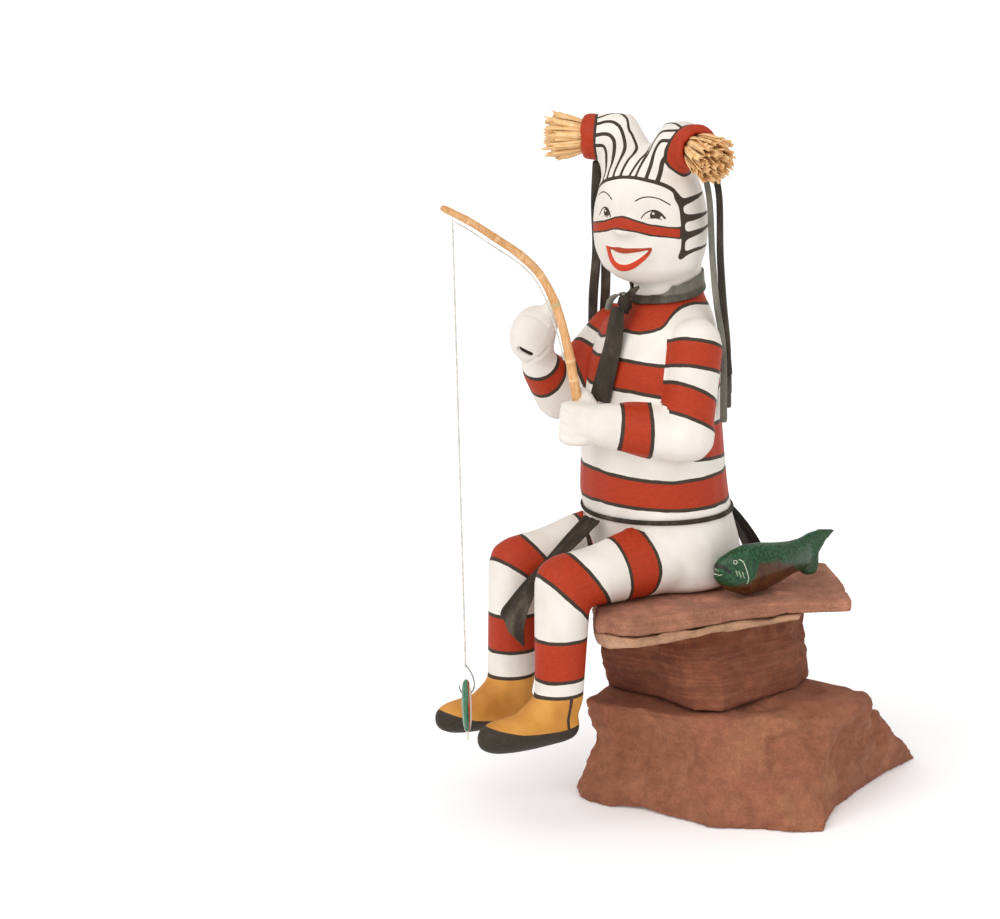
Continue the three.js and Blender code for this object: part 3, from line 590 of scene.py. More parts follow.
def paintedClay(look):
    # Earthenware under a stone-polished slip with mineral paints: matt, warm white, with a faint brush drag
    names = ("bodyRed", "legRed", "legSide", "armRed", "armSide", "headRed", "headSide", "ochre", "sole",
             "seam", "inkAndHoleShade", "lips", "upperLipShade")
    finish = {"Roughness": 0.6, "Specular IOR Level": 0.3}
    material, add, place, *values = startMaterial("paintedClay", finish, *names)
    field = dict(zip(names, values))
    red = field["bodyRed"]
    for part in ("leg", "arm", "head"):
        onPart = add("Math", {0: field[f"{part}Side"], 1: 0.0}, operation="GREATER_THAN")
        red = add("Mix", {0: onPart, 2: red, 3: field[f"{part}Red"]})
    lineWidth = add("Mix", {0: onPart, 2: look["line"], 3: look["faceLine"]})  # the head's lines are finer
    wander = add("TexNoise", {"Vector": place, "Scale": per(11.0), "Detail": 2.0})
    wander = add("Math", {0: wander, 1: 0.5}, operation="SUBTRACT")
    red = add("Math", {0: wander, 1: look["wander"], 2: red}, operation="MULTIPLY_ADD")
    lineWidth = add("Math", {0: wander, 1: 0.5, 2: lineWidth}, operation="MULTIPLY_ADD")
    redEdge, ochreEdge = (add("Math", {0: value}, operation="ABSOLUTE") for value in (red, field["ochre"]))
    drawn = add("Mapping", {"Vector": place, "Scale": (1.0, 1.0, 3.0)})
    brush = add("TexNoise", {"Vector": drawn, "Scale": per(3.0), "Detail": 4.0, "Roughness": 0.6})
    cloud = add("TexNoise", {"Vector": place, "Scale": per(26.0), "Detail": 3.0})
    paint = {name: add("ValToRGB", {0: cloud if name in ("slip", "ochre") else brush}, stops=stops)
             for name, stops in look["paints"].items()}
    layers = (
        # what decides where a paint lies, from the lowest layer to the highest
        (red, "GREATER_THAN", 0.0, paint["red"]),
        (field["ochre"], "GREATER_THAN", 0.0, paint["ochre"]),
        (redEdge, "LESS_THAN", lineWidth, paint["dark"]),
        (ochreEdge, "LESS_THAN", look["line"], paint["dark"]),
        (field["seam"], "GREATER_THAN", 0.0, paint["dark"]),
        (field["sole"], "GREATER_THAN", 0.0, paint["sole"]),
        (field["lips"], "GREATER_THAN", 0.0, paint["lips"]),
        # painted shade: the upper lip's darker red
        (field["upperLipShade"], "GREATER_THAN", 0.0, look["upperLipShade"]),
        # the head's ink lines, and painted shade inside the fist's hole
        (field["inkAndHoleShade"], "GREATER_THAN", 0.0, paint["dark"]),
    )
    coats = [(add("Math", {0: value, 1: limit}, operation=how), over) for value, how, limit, over in layers]
    skin = add("TexNoise", {"Vector": place, "Scale": per(5.0), "Detail": 3.0})
    return finishMaterial(material, add, paint["slip"], coats, skin, 0.15, 0.3)


def paintedHead(points, strokes):
    head = toHead(points)
    flat = head[:, (0, 2)]
    front = np.where(head[:, 1] < -8, 0.0, -20.0)  # nothing of the band behind the face
    xs, tops, feet = faceLook["band"]
    across = np.abs(flat[:, 0] - faceLook["bandPeak"])
    band = between(np.interp(across, xs, tops) - flat[:, 1], flat[:, 1] - np.interp(across, xs, feet))
    band = between(band, faceLook["bandEnd"] - np.abs(flat[:, 0])) + front
    collar = np.full(len(head), -20.0)
    local = points - np.array(figurePlace)
    for centre, way, back in collarLook["ends"]:
        way = np.array(Vector(way).normalized())
        reach = (local - np.array(centre)) @ way
        spread = np.linalg.norm(local - np.array(centre) - reach[:, None] * way, axis=1)
        inside = between(reach + back, collarLook["radius"] - spread, collarLook["reach"] - reach)
        collar = np.maximum(collar, inside * 0.6)
    inkAndHoleShade = between(insideStrokes(head, strokes), -collar)
    near = inBox(head, *faceLook["painted"])
    level = np.column_stack([flat[near], np.zeros(near.sum())])
    drawn = [strokeLine([(x, z, 0) for x, z in marks], halves, 0.25) for marks, halves in faceLook["strokes"]]
    fine = insideStrokes(level, [(path, widths, 0.01) for path, widths in drawn])
    for (x, z), size in faceLook["irises"]:
        iris = size - np.hypot(level[:, 0] - x, level[:, 1] - z)
        lid = np.interp(level[:, 0] - x, *faceLook["lid"]) + z - level[:, 1]
        fine = np.maximum(fine, between(iris, lid, level[:, 1] - z + faceLook["lidBelow"]))
    for (x, z), size in faceLook["glints"]:
        fine = np.minimum(fine, np.hypot(level[:, 0] - x, level[:, 1] - z) - size)
    inkAndHoleShade[near] = np.maximum(inkAndHoleShade[near], fine)
    lips = np.full(len(head), -5.0)
    outer, inner = (insideOutline(flat[near], faceLook[name]) for name in ("lipsOutside", "lipsInside"))
    lips[near] = between(outer, -inner)
    return {
        "headRed": np.maximum(band, collar),
        "headSide": head[:, 2] + 36,  # from the chin up
        "inkAndHoleShade": inkAndHoleShade,
        "lips": lips,
        # painted shade on the upper lip, where it overhangs the mouth
        "upperLipShade": between(lips, flat[:, 1] + 12, flat[:, 0] + 10.4),
    }


def strokeLine(marks, halves, gap=0.4):
    long = sum((Vector(b) - Vector(a)).length for a, b in zip(marks, marks[1:]))
    path = smoothPath(marks, max(8, int(long / gap)))
    return np.array(path), np.linspace(halves[0], halves[1], len(path))


def insideStrokes(points, strokes):
    # how deep each point lies inside the brush strokes; each melts into the ones before it
    far, reach = -9.0, 7
    depth = np.full(len(points), far)
    for path, halves, melt in strokes:
        near = np.flatnonzero(inBox(points, path.min(0) - reach, path.max(0) + reach))
        for part in np.array_split(near, max(1, len(near) // 4000)):
            gaps = np.sqrt(((points[part][:, None] - path[None]) ** 2).sum(2))
            best = (halves[None] - gaps).max(1)
            soft = np.maximum(melt - np.abs(depth[part] - best), 0) / melt
            depth[part] = np.maximum(depth[part], best) + soft**2 * melt / 4 * (depth[part] > far + 1)
    return depth


def insideOutline(flat, corners, steps=90):
    outline = np.array([p[:2] for p in smoothPath([(x, z, 0) for x, z in corners + corners[:1]], steps)])
    ends = np.roll(outline, -1, 0)
    near = np.full(len(flat), 1e9)
    inside = np.zeros(len(flat), bool)
    for a, b in zip(outline, ends):
        t = np.clip((flat - a) @ (b - a) / max((b - a) @ (b - a), 1e-9), 0, 1)
        near = np.minimum(near, np.linalg.norm(flat - a - t[:, None] * (b - a), axis=1))
        crosses = (a[1] > flat[:, 1]) != (b[1] > flat[:, 1])
        with np.errstate(divide="ignore", invalid="ignore"):
            at = a[0] + (flat[:, 1] - a[1]) * (b[0] - a[0]) / (b[1] - a[1])
        inside ^= crosses & (flat[:, 0] < at)
    return np.where(inside, near, -near)


def toHead(points):
    turn = np.array(Matrix.Rotation(-headTurn, 3, "Z"))
    return (points - np.array(figurePlace) - np.array(headPlace)) @ turn.T


def refineNear(bm, chosen, cuts):
    # finer faces where the paint is finest, so that its edges stay crisp
    chosen = set(np.flatnonzero(chosen).tolist())
    edges = [e for e in bm.edges if e.verts[0].index in chosen or e.verts[1].index in chosen]
    bmesh.ops.subdivide_edges(bm, edges=edges, cuts=cuts, use_grid_fill=True, smooth=0.0)
    bm.verts.index_update()


def modelFace(head):
    # a small wide nose, cheeks that rise with the smile, and a mouth with raised lips
    flat = head[:, (0, 2)]
    front = np.clip((-head[:, 1] - 12) / 8, 0, 1)  # fades out towards the ears
    (acrossNose, upNose), halves, rise = faceLook["nose"]
    x = (flat[:, 0] - acrossNose) / halves[0]
    z = (flat[:, 1] - upNose) / halves[1]
    z = np.where(z < 0, z * 1.7, z * 0.7)  # short below and long above
    out = rise * np.exp(-(np.sqrt(x**2 + z**2) ** 3) * 0.9)
    outer, inner = (insideOutline(flat, faceLook[name]) for name in ("lipsOutside", "lipsInside"))
    out += faceLook["muzzle"] * eased(np.clip((outer + 5) / 9, 0, 1))
    out += 0.6 * np.clip((np.minimum(outer, -inner) + 0.9) / 1.4, 0, 1)  # the lips stand out
    out -= 0.6 * np.clip((inner + 0.3) / 0.8, 0, 1)
    for (x, z), halves, rise in faceLook["reliefs"]:
        out += rise * (swelling(flat, (x, z), halves) + swelling(flat, (-x, z), halves))
    return out * front


handLook = {
    # creases as points on them in the figure's drawing, with half their width and how deep they are
    "creases": (
        (((13, -68.4, 115.6), (9, -70.5, 117.3), (3, -69.5, 118.2), (-1.5, -65, 118)), 0.9, 0.7),
        (((13.2, -69.3, 108.1), (9.5, -71, 109), (3.5, -70, 109.8), (-2, -65, 110)), 0.9, 0.8),
        (((14, -69.2, 102.2), (9.5, -71, 102.8), (3.5, -70, 103.4), (-1.5, -65, 103.4)), 0.9, 0.7),
        (((-43, -71, 166.5), (-37.6, -66.8, 167.8), (-32.2, -64.2, 167), (-28.2, -60.8, 164),
          (-27.5, -57.7, 160.3)), 1.2, 0.6),
        (((-47, -63, 135.5), (-42.1, -64.4, 136.6), (-30.9, -65, 139.5), (-28.4, -61.3, 141.5),
          (-29.5, -56.2, 145.8)), 1.2, 0.9),
    ),
    # the hole in the far fist: points along it, half its width, how deep; its inside is painted dark as
    # painted shade
    "hole": (((-36.2, -72.5, 145.6), (-33.6, -70.6, 143.8), (-31.4, -68.6, 141.9)), 2.4, 5.0),
    # the near hand's thumb and the far hand's fist: middle of each end, and half the width
    "lumps": (((14, -51.5, 114.5), (4.2, -52.8, 125), 4.7),
              ((-41.5, -62.2, 150.4), (-41.5, -59, 158), 13.9)),
    "rounded": 18,  # rounds of smoothing on the far hand
    "reach": 21,  # from the middle of a hand to where its finer faces end
}


def creaseLine(points, marks, half, surface):
    # how deep inside a crease or hole each point lies
    path = [surface.find_nearest(onFigure(p))[0] / mm - figurePlace for p in smoothPath(marks, 40)]
    return insideStrokes(points, [(np.array(path), np.full(41, half), 0.3)])


def strokesOnClay(surface):
    # the head's brush strokes, laid on the clay
    turn = Matrix.Rotation(headTurn, 3, "Z")
    strokes = []
    for part, lines in headStrokes.items():
        for marks, halves in lines:
            for side in (1,) if "Horn" in part else (1, -1):
                path, widths = strokeLine([(x * side, y, z) for x, y, z in marks], halves)
                clay = [surface.find_nearest(onFigure(turn @ Vector(p) + headPlace))[0] / mm for p in path]
                strokes.append((toHead(np.array(clay)), widths, 3.4 if part == "cheeks" else 0.3))
    return strokes


def refineClay(bm, strokes):
    bm.verts.ensure_lookup_table()
    world = np.array([v.co for v in bm.verts]) / mm
    head = toHead(world)
    fine = (insideStrokes(head, strokes) > -2.2) | inBox(head, *faceLook["fine"])
    for one in armBorders.values():
        fine |= awayFrom(world, Vector(one["joints"][3]) + figurePlace) < handLook["reach"]
    refineNear(bm, fine, 2)
    relax(bm, [v for v in bm.verts if v.index >= len(head)], 0.3)
    bm.verts.ensure_lookup_table()
    head = toHead(np.array([v.co for v in bm.verts]) / mm)
    head[:, 0] = np.abs(head[:, 0])
    refineNear(bm, inBox(head, *faceLook["eyes"]), 1)


def makeFigure(look):
    bm = mergedCopy("figure")
    for root, tip, half in handLook["lumps"]:
        lean = Vector(tip) - Vector(root)
        middle = onFigure((Vector(root) + Vector(tip)) / 2)
        size = Vector((half, half, half + lean.length / 2)) * mm
        place = Matrix.LocRotScale(middle, lean.to_track_quat("Z", "Y"), size)
        bmesh.ops.create_icosphere(bm, subdivisions=4, radius=1.0, matrix=place)
    mesh = roundedMesh(bm, look["voxel"], look["polish"])
    bm = bmeshOf(mesh)
    farHand = onFigure(armBorders["right"]["joints"][3])
    fist = [v for v in bm.verts if (v.co - farHand).length < handLook["reach"] * mm]
    for again in range(handLook["rounded"]):
        relax(bm, fist, 0.5)
    surface = BVHTree.FromBMesh(bm)
    strokes = strokesOnClay(surface)
    refineClay(bm, strokes)
    bm.to_mesh(mesh)
    bm.free()
    points, normals = vertexValues(mesh, "co"), vertexValues(mesh, "normal")
    head = toHead(points / mm)
    onFace = inBox(head, *faceLook["shaped"])
    out = np.zeros(len(head))
    out[onFace] = modelFace(head[onFace])
    local = points / mm - np.array(figurePlace)
    marks, half, deep = handLook["hole"]
    hole = creaseLine(local, marks, half, surface)
    dent = deep * np.clip((hole + 0.3) / 0.9, 0, 1)
    for marks, half, deep in handLook["creases"]:
        inside = creaseLine(local, marks, half, surface)
        dent += deep * eased(np.clip(inside / half + 0.8, 0, 1.8) / 1.8)
    fields = paintedBands(local, normals, bandLook) | paintedHead(points / mm, strokes)
    # painted shade: the inside of the fist's hole is painted dark
    fields["inkAndHoleShade"] = np.maximum(fields["inkAndHoleShade"], hole - 0.2)
    for name, values in fields.items():
        keepField(mesh, name, values)
    middle, halves, rise, top = look["lap"]
    swell = rise * swelling(np.column_stack([np.abs(local[:, 0]), local[:, 1]]), middle, halves)
    swell *= np.clip(normals[:, 2] * 1.4, 0, 1) * (local[:, 2] < top)
    ahead = np.array(Matrix.Rotation(headTurn, 3, "Z") @ Vector((0, -1, 0)))
    moves = out[:, None] * ahead - dent[:, None] * normals + swell[:, None] * np.array((0, -0.2, 1))
    movePoints(mesh, points + moves * mm)
    newPiece("clay_figure", mesh, paintedClay(look), "painted_clay", "figure")
    print("figure:", sum(len(face.vertices) - 2 for face in mesh.polygons), "triangles")
    return surface


# leather: ribbons, neckerchief, belt and loincloth

leatherLook = {
    "thick": 1.1,
    "dark": ((0.34, "#271F18"), (0.54, "#3E3328"), (0.8, "#736859")),
    "pale": ((0.3, "#67635A"), (0.52, "#8C897E"), (0.74, "#A9A79D")),
    "paleRibbons": ("ribbon_left_1", "ribbon_left_4"),
    "ribbonHalves": {"left": (1.8, 1.9, 2.0, 2.1, 2.2), "right": (2.4, 2.7, 2.9, 2.9, 2.8)},
}
ribbonRoutes = {
    "left": (
        ((36.5, 12.5, 252), (40.2, 13.2, 238), (41.2, 14.3, 204), (41.6, 16.8, 175), (42.9, 19.8, 151),
         (43, 20, 104)),
        ((35.2, 19, 256), (38.8, 20.8, 240), (39, 21, 203), (39.8, 22.3, 174), (40.9, 23.9, 151),
         (41, 24.3, 112)),
        ((37, 18, 255), (40.6, 19.4, 240), (40.9, 19.8, 203), (41.6, 21, 174), (42.6, 22.6, 151),
         (43.2, 23.9, 132)),
        ((33.5, 20, 257.5), (36.9, 22.2, 240), (37.2, 22.7, 203), (38, 24, 174), (39, 25.5, 151),
         (39.2, 26, 120)),
    ),
    "right": (
        ((-26.5, -22.5, 255), (-36, -18, 229), (-38.2, -16.3, 201), (-49.6, -12.1, 174),
         (-62.4, -5.5, 152), (-62.7, -5.4, 138)),
        ((-28.2, -21.3, 255.8), (-38.3, -16.7, 229), (-40.9, -14.7, 201), (-52.5, -10.5, 174),
         (-65.1, -4, 152), (-65.5, -3.9, 143)),
        ((-31.2, -18.7, 258.3), (-36.7, -10.6, 229), (-40.2, -8.6, 201), (-47.5, -4.9, 174),
         (-61.8, 2, 152), (-62.3, 2.3, 140)),
        ((-31.9, -15.6, 260.7), (-39.6, -9, 229), (-43.1, -7, 201), (-50.6, -3.2, 174),
         (-64.9, 3.8, 152), (-65.4, 4, 146)),
    ),
}


def wornLeather(look):
    # Thin dark brown suede: no shine, a napped face with grey scuffs; some strips are rubbed grey all over,
    # and on the neckerchief the paler tone is painted highlight
    finish = {"Roughness": 0.84, "Specular IOR Level": 0.3}
    material, add, place, tone = startMaterial("wornLeather", finish, "tone")
    nap = add("TexNoise", {"Vector": place, "Scale": per(1.0), "Detail": 4.0, "Roughness": 0.65})
    long = add("Mapping", {"Vector": place, "Scale": (1.0, 1.0, 0.4)})
    scuff = add("TexNoise", {"Vector": long, "Scale": per(14.0), "Detail": 5.0, "Roughness": 0.6})
    dark, pale = (add("ValToRGB", {0: scuff}, stops=look[name]) for name in ("dark", "pale"))
    fleck = add("ValToRGB", {0: nap}, stops=((0.3, "#565656"), (0.7, "#A6A6A6")))
    return finishMaterial(material, add, dark, ((tone, pale), (0.5, fleck, "OVERLAY")), nap, 0.2, 0.5)


def thicken(piece, thick, levels=1):
    wall = piece.modifiers.new("thickness", "SOLIDIFY")
    wall.thickness = thick * mm
    wall.offset = 0.0
    if levels:
        soft = piece.modifiers.new("soft", "SUBSURF")
        soft.levels = levels
        soft.render_levels = levels


def leatherStrip(name, bm, material, tone, thick, *stands):
    piece = newPiece(name, bm, material, "leather", *stands)
    keepField(piece.data, "tone", tone)
    thicken(piece, thick)
    return piece


def makeRibbons(look, material):
    for side, routes in ribbonRoutes.items():
        for i, route in enumerate(routes):
            rng = random.Random(11 * i + len(side))
            start, wave = rng.uniform(0, 6), rng.uniform(0.5, 1.2)

            def hang(across, share, start=start, wave=wave):
                return 0.0, 0.25 * math.sin(9 * share + start), 0.18 * wave * math.sin(5 * share + start)

            bm = clothAlong(route, 34, look["ribbonHalves"][side], alongStones, 3, hang)
            name = f"ribbon_{side}_{i + 1}"
            tone = 0.85 if name in look["paleRibbons"] else rng.uniform(0, 0.3)
            leatherStrip(f"leather_{name}", bm, material, tone, look["thick"], name)
    print("ribbons")


flapLook = {
    "front": {
        "route": ((0, -45.2, 46.8), (0, -58, 37), (0, -75, 24), (-0.5, -90, 10), (0, -101, -7),
                  (0.5, -103, -17)),
        "halves": (9, 8.5, 6.4, 7.2, 11.5, 15.5),
        "cut": (7.2, -3.2),  # how the lower end slants and how much shorter it is
        "ridge": 3.0,  # how far the fold down the middle stands out
        "flat": (0.031, 0.103),
        "area": 0.0018,
    },
    "back": {
        "route": ((0, 45, 46.8), (1, 54, 36), (2, 63, 22), (2, 70, 8)),
        "halves": (9, 10, 12, 13),
        "cut": (1.5, 0.0),
        "ridge": 1.5,
        "flat": (0.025, 0.047),
        "area": 0.00105,
    },
}


def makeFlaps(look, material):
    for side, one in look.items():
        def hang(across, share, cut=one["cut"], ridge=one["ridge"]):
            gathers = (1 - share) * 0.5 * math.cos(across * 7.5)
            fold = ridge * share * max(0, 1 - abs(across - 0.1) * 1.4)
            return share**3 * (cut[0] * across + cut[1]), gathers + fold, 0.0

        bm = clothAlong(one["route"], 30, one["halves"], (1, 0, 0), 14, hang)
        name, stands = f"leather_flap_{side}", f"loincloth_{side}"
        piece = leatherStrip(name, bm, material, 0.0, leatherLook["thick"], stands)
    print("flaps")


neckLook = {
    "place": (0.5, 8.6, 181.5),
    "tilt": 12.0,
    "radius": 24.5,
    # by the turn from the front towards the figure's left: the top edge, the width, and how much is pale;
    # that pale upper part is painted highlight where the band faces up to the light
    "top": ((-180, 5), (-90, 4.5), (0, 3.6), (60, 3.6), (120, 4.6)),
    "width": ((-180, 11), (-90, 8), (0, 7.4), (40, 7.4), (80, 8.2), (120, 9.6), (150, 11)),
    "pale": ((-180, 0.75), (-100, 0.5), (-40, 0.1), (0, 0), (38, 0), (60, 0.25), (90, 0.5), (130, 0.7)),
    "knot": ((5.6, -24, 174.8), (5.0, 4.6, 5.2)),
    "wrap": ((5.6, -24, 174.8), 5.3, 5.9),
    "thick": 1.0,
    "strips": {
        # route, half widths along it, direction of the width, how pale; the wrap goes round the knot; the
        # loop's paleness is painted highlight where it catches the light from above
        "wrap": (None, (2.0, 2.9, 2.2), (0.56, 0.83, 0.15), 0.05),
        "wing": (((6.4, -24.5, 178), (8.4, -21, 181.4), (10.6, -17, 185)), (2.6, 2.2, 0.6),
                 (0.4, 0.5, 1), 0.0),
        "loop": (((7.2, -24.5, 181), (3, -27.6, 180), (-1, -29.6, 176.5), (-3.2, -30.6, 170.5)),
                 (1.4, 2.0, 2.2, 2.0), (0.5, 0.8, 0.3), 0.95),
    },
    "tail": ((5, -28.4, 173.5), (6.6, -31.4, 162), (7.6, -33.6, 153), (8.4, -37.4, 142),
             (6.4, -43.2, 118.5)),
    "tailHalves": (4.6, 6.4, 7.0, 7.2, 7.2, 7.0),
}


def clingingBand(look, surface):
    # a folded band that starts round the neck and is pulled against the clay
    tilt = Matrix.Rotation(math.radians(look["tilt"]), 3, "X")
    bm = bmesh.new()
    toneWithHighlight = {}
    radius, names = look["radius"], ("top", "width", "pale")
    for v in bmesh.ops.create_grid(bm, x_segments=90, y_segments=16, size=1.0)["verts"]:
        turn, share = v.co.x * 180, (1 - v.co.y) / 2
        top, width, pale = (float(np.interp(turn, *zip(*look[name]), period=360)) for name in names)
        angle = math.radians(turn)
        ripple = 0.35 * math.sin(5 * angle + 6 * share) + 0.25 * math.sin(11 * angle - 4 * share)
        spot = Vector((radius * math.sin(angle), -radius * math.cos(angle), top - width * share))
        clay, normal = surface.find_nearest(onFigure(tilt @ spot + Vector(look["place"])))[:2]
        # painted highlight: the pale upper part of the band stands for light on the part that faces up
        fold = float(np.interp(share - pale, (-0.07, 0.07), (0, 1)))  # the darker fold lies over the pale one
        v.co = clay + normal * (1.05 + 0.5 * fold + 0.3 * ripple * share) * mm  # its middle, off the clay
        # painted highlight: the dark fold is painted paler towards the back, where it faces up to the light
        toneWithHighlight[v] = 0.9 + fold * (float(np.interp(abs(turn), (40, 150), (0.1, 0.55))) - 0.9)
    relax(bm, bm.verts, 0.4)
    return bm, [toneWithHighlight[v] for v in bm.verts]


def makeNeckerchief(look, material, surface):
    bm, bandToneWithHighlight = clingingBand(look, surface)
    size = sum(face.calc_area() for face in bm.faces)
    band = leatherStrip("neckerchief_band", bm, material, bandToneWithHighlight, look["thick"], "neckerchief")
    centre, halves = look["knot"]
    bm = bmesh.new()
    bmesh.ops.create_icosphere(bm, subdivisions=4, radius=1.0)
    for v in bm.verts:
        crease = 0.9 + 0.1 * math.cos(5 * v.co.x + 3 * v.co.z) + 0.05 * math.sin(8 * v.co.z - 3 * v.co.x)
        v.co = onFigure(Vector(v.co[i] * halves[i] * crease + centre[i] for i in range(3)))
    knot = newPiece("neckerchief_knot", bm, material, "leather")

    def hang(across, share):
        return 0.0, 0.5 * math.cos(across * 3 + 1), 0.25 * math.sin(5 * share)

    def fall(across, share):
        return 0.0, 0.9 * (1 - 0.6 * share) * math.cos(across * 5 + 1), 0.12 * math.sin(4 * share)

    (x, y, z), deep, tall = look["wrap"]
    turns = [math.radians(a) for a in range(-100, 261, 30)]
    ring = [(x + deep * 0.83 * math.cos(a), y - deep * 0.56 * math.cos(a), z + tall * math.sin(a))
            for a in turns]
    for name, (route, widths, across, tone) in look["strips"].items():
        bm = clothAlong(route or ring, 24, widths, across, 4, hang)
        leatherStrip(f"neckerchief_{name}", bm, material, tone, look["thick"])
    bm = clothAlong(look["tail"], 30, look["tailHalves"], (0.9, 0.44, 0), 12, fall)
    tail = leatherStrip("neckerchief_tail", bm, material, 0.08, leatherLook["thick"])
    print("neckerchief, band's area", round(size * 1e6), "mm2")


def makeBelt(material):
    mesh = withModifiers(mergedCopy("belt"), [("SUBSURF", {"levels": 2, "render_levels": 2})])
    newPiece("leather_belt", mesh, material, "leather", "belt")
    print("belt")


# corn husk tufts

tuftLook = {
    # the horn's end from the middle of the head, its heading in degrees, how much it dips, and a seed
    "sides": {
        "left": ((34, -9, 49), -34, 0.24, 5),
        "right": ((-34.5, -8, 52.5), 180 + 19, 0.0, 9),
    },
    "strips": 110,
    "root": 8.0,  # how far out the strips start and end
    "mouth": 12.8,
    "long": (18.5, 26.5),
    "halves": (0.9, 2.3),
    "thick": 0.35,
    "goldenTurn": 2.399963,  # radians from each strip to the next, so that they spread evenly
}


def dryHusk():
    # Dried corn husk: warm straw yellow and papery, ribbed along its length, brown in the torn ribs
    material, add, place = startMaterial("dryHusk", {"Roughness": 0.68})
    ribs = add("Mapping", {"Vector": add("UVMap"), "Scale": (9.0, 0.8, 1.0)})
    rib = add("TexNoise", {"Vector": ribs, "Scale": 1.0, "Detail": 4.0})
    patch = add("TexNoise", {"Vector": place, "Scale": per(4.0), "Detail": 2.0})
    colour = add("ValToRGB", {0: patch}, stops=((0.3, "#E2AB68"), (0.5, "#F0C083"), (0.72, "#FADAA8")))
    lines = add("ValToRGB", {0: rib}, stops=((0.32, "#85562A"), (0.44, "#E8B573"), (0.66, "#FCE2B8")))
    return finishMaterial(material, add, colour, ((0.45, lines),), rib, 0.3, 0.6)


def makeTufts(look, material):
    turn = Matrix.Rotation(headTurn, 3, "Z")
    for side, (end, heading, dip, seed) in look["sides"].items():
        heading = math.radians(heading)
        base = turn @ Vector(end) + headPlace + figurePlace
        out = turn @ Vector((math.cos(heading), math.sin(heading), -dip)).normalized()
        wide = out.orthogonal().normalized()
        deep = out.cross(wide)
        rng = random.Random(seed)
        bm = bmesh.new()
        fibre = bm.loops.layers.uv.new("fibre")
        for n in range(look["strips"]):
            ring = math.sqrt((n + 0.5) / look["strips"])
            angle = n * look["goldenTurn"] + rng.uniform(-0.2, 0.2)
            spoke = wide * math.cos(angle) + deep * math.sin(angle)
            tangent = out.cross(spoke)
            long, half = rng.uniform(*look["long"]) * (1 - 0.1 * ring), rng.uniform(*look["halves"])
            bend, twist, curl = rng.uniform(-2.4, 2.4), rng.uniform(-1.3, 1.3), rng.uniform(-0.6, 1.0)
            torn = [rng.uniform(-0.09, 0.04) for column in range(3)]
            for v in bmesh.ops.create_grid(bm, x_segments=2, y_segments=6, size=1.0, calc_uvs=True)["verts"]:
                across, share = v.co.x, (v.co.y + 1) / 2
                share *= 1 + torn[round(across + 1)] * share**3
                opened = look["root"] + (look["mouth"] - look["root"]) * share
                reach = ring * (opened + math.sin(math.pi * share))
                reach += curl * 2.2 * max(share - 0.6, 0) ** 2 / 0.16
                turned = tangent * math.cos(twist * share) + spoke * math.sin(twist * share)
                cupped = spoke * 0.35 * half * (1 - across**2)
                centre = base + out * (1.0 + (long + 2) * share) + spoke * reach + tangent * bend * share**2
                v.co = (centre + turned * half * across + cupped) * mm
                for loop in v.link_loops:
                    loop[fibre].uv.x += n * 0.37
        bmesh.ops.recalc_face_normals(bm, faces=bm.faces)
        piece = newPiece(f"husk_strips_{side}", bm, material, "husk", f"husk_tuft_{side}")
        thicken(piece, look["thick"], 0)
    print("tufts")


# rod, threads, hook and lure

rodLook = {
    "route": ((6, -57, 114), (5, -60, 136), (5, -63, 152), (5, -67, 168), (5, -73, 184.5),
              (5, -82, 199.5), (5, -94, 211), (5, -108, 221), (5, -126, 233), (4, -143, 242.5)),
    "girths": ((0, 1), (0.12, 0.95), (0.2, 0.97), (0.3, 0.87), (0.4, 0.93), (0.5, 0.8), (0.62, 0.85),
               (0.75, 0.77), (0.88, 0.73), (0.985, 0.68), (1, 0.5)),
    "nodes": (0.12, 0.192, 0.53, 0.64, 0.76, 0.89),
    "radius": 3.007,
    "nodeRise": 0.22,
    # half lengths as shares of the rod: a node's swelling, its pale ring, and the binding
    "spans": (0.008, 0.0045, 0.006),
    "tie": 0.407,  # where a pale thread is bound round it
    "tieRise": 0.25,
}
rodLineLook = {
    "ends": (0.2, 0.93),  # shares of the rod's length
    "under": 4.2,  # from the middle of the rod
    "slack": 0.5,
    "radius": 0.42,
}
lineLook = {
    "top": (4.3, -136.5, 235.8),
    "long": 262.0,
    "thick": 1.0,
}
hookLook = {
    # distances out along the stones and down from the line's end
    "route": ((0.4, 2), (2.4, 5), (4.4, 10), (4.8, 14.5), (3, 18.4), (0, 19.6), (-2.6, 18.4),
              (-3.9, 15.6), (-3.8, 13)),
    "radii": [0.45] * 57 + [0.36, 0.24, 0.12, 0.03],
    "eye": (1.6, 0.85, 0.3),  # how far down, and the radii of the ring and its wire
}
lureLook = {
    "voxel": 0.4,
    "polish": 8,
    "tail": 6,  # how much of its lower end is pale
}


def peeledTwig():
    # Peeled bamboo twig: orange tan and satin, long pores, paler in a thin ring at each node
    material, add, place, node, tie = startMaterial("peeledTwig", {"Roughness": 0.42}, "node", "tie")
    long = add("Mapping", {"Vector": place, "Scale": (1.0, 1.0, 0.25)})
    pores = add("TexNoise", {"Vector": long, "Scale": per(1.3), "Detail": 4.0, "Roughness": 0.6})
    patch = add("TexNoise", {"Vector": place, "Scale": per(14.0), "Detail": 2.0})
    colour = add("ValToRGB", {0: patch}, stops=((0.32, "#CC8E50"), (0.68, "#E5B077")))
    streak = add("ValToRGB", {0: pores}, stops=((0.36, "#A86E36"), (0.6, "#F0C794")))
    coats = ((0.3, streak), (node, "#F3CFA4"), (tie, "#B8AE80"))
    return finishMaterial(material, add, colour, coats, pores, 0.12, 0.5)


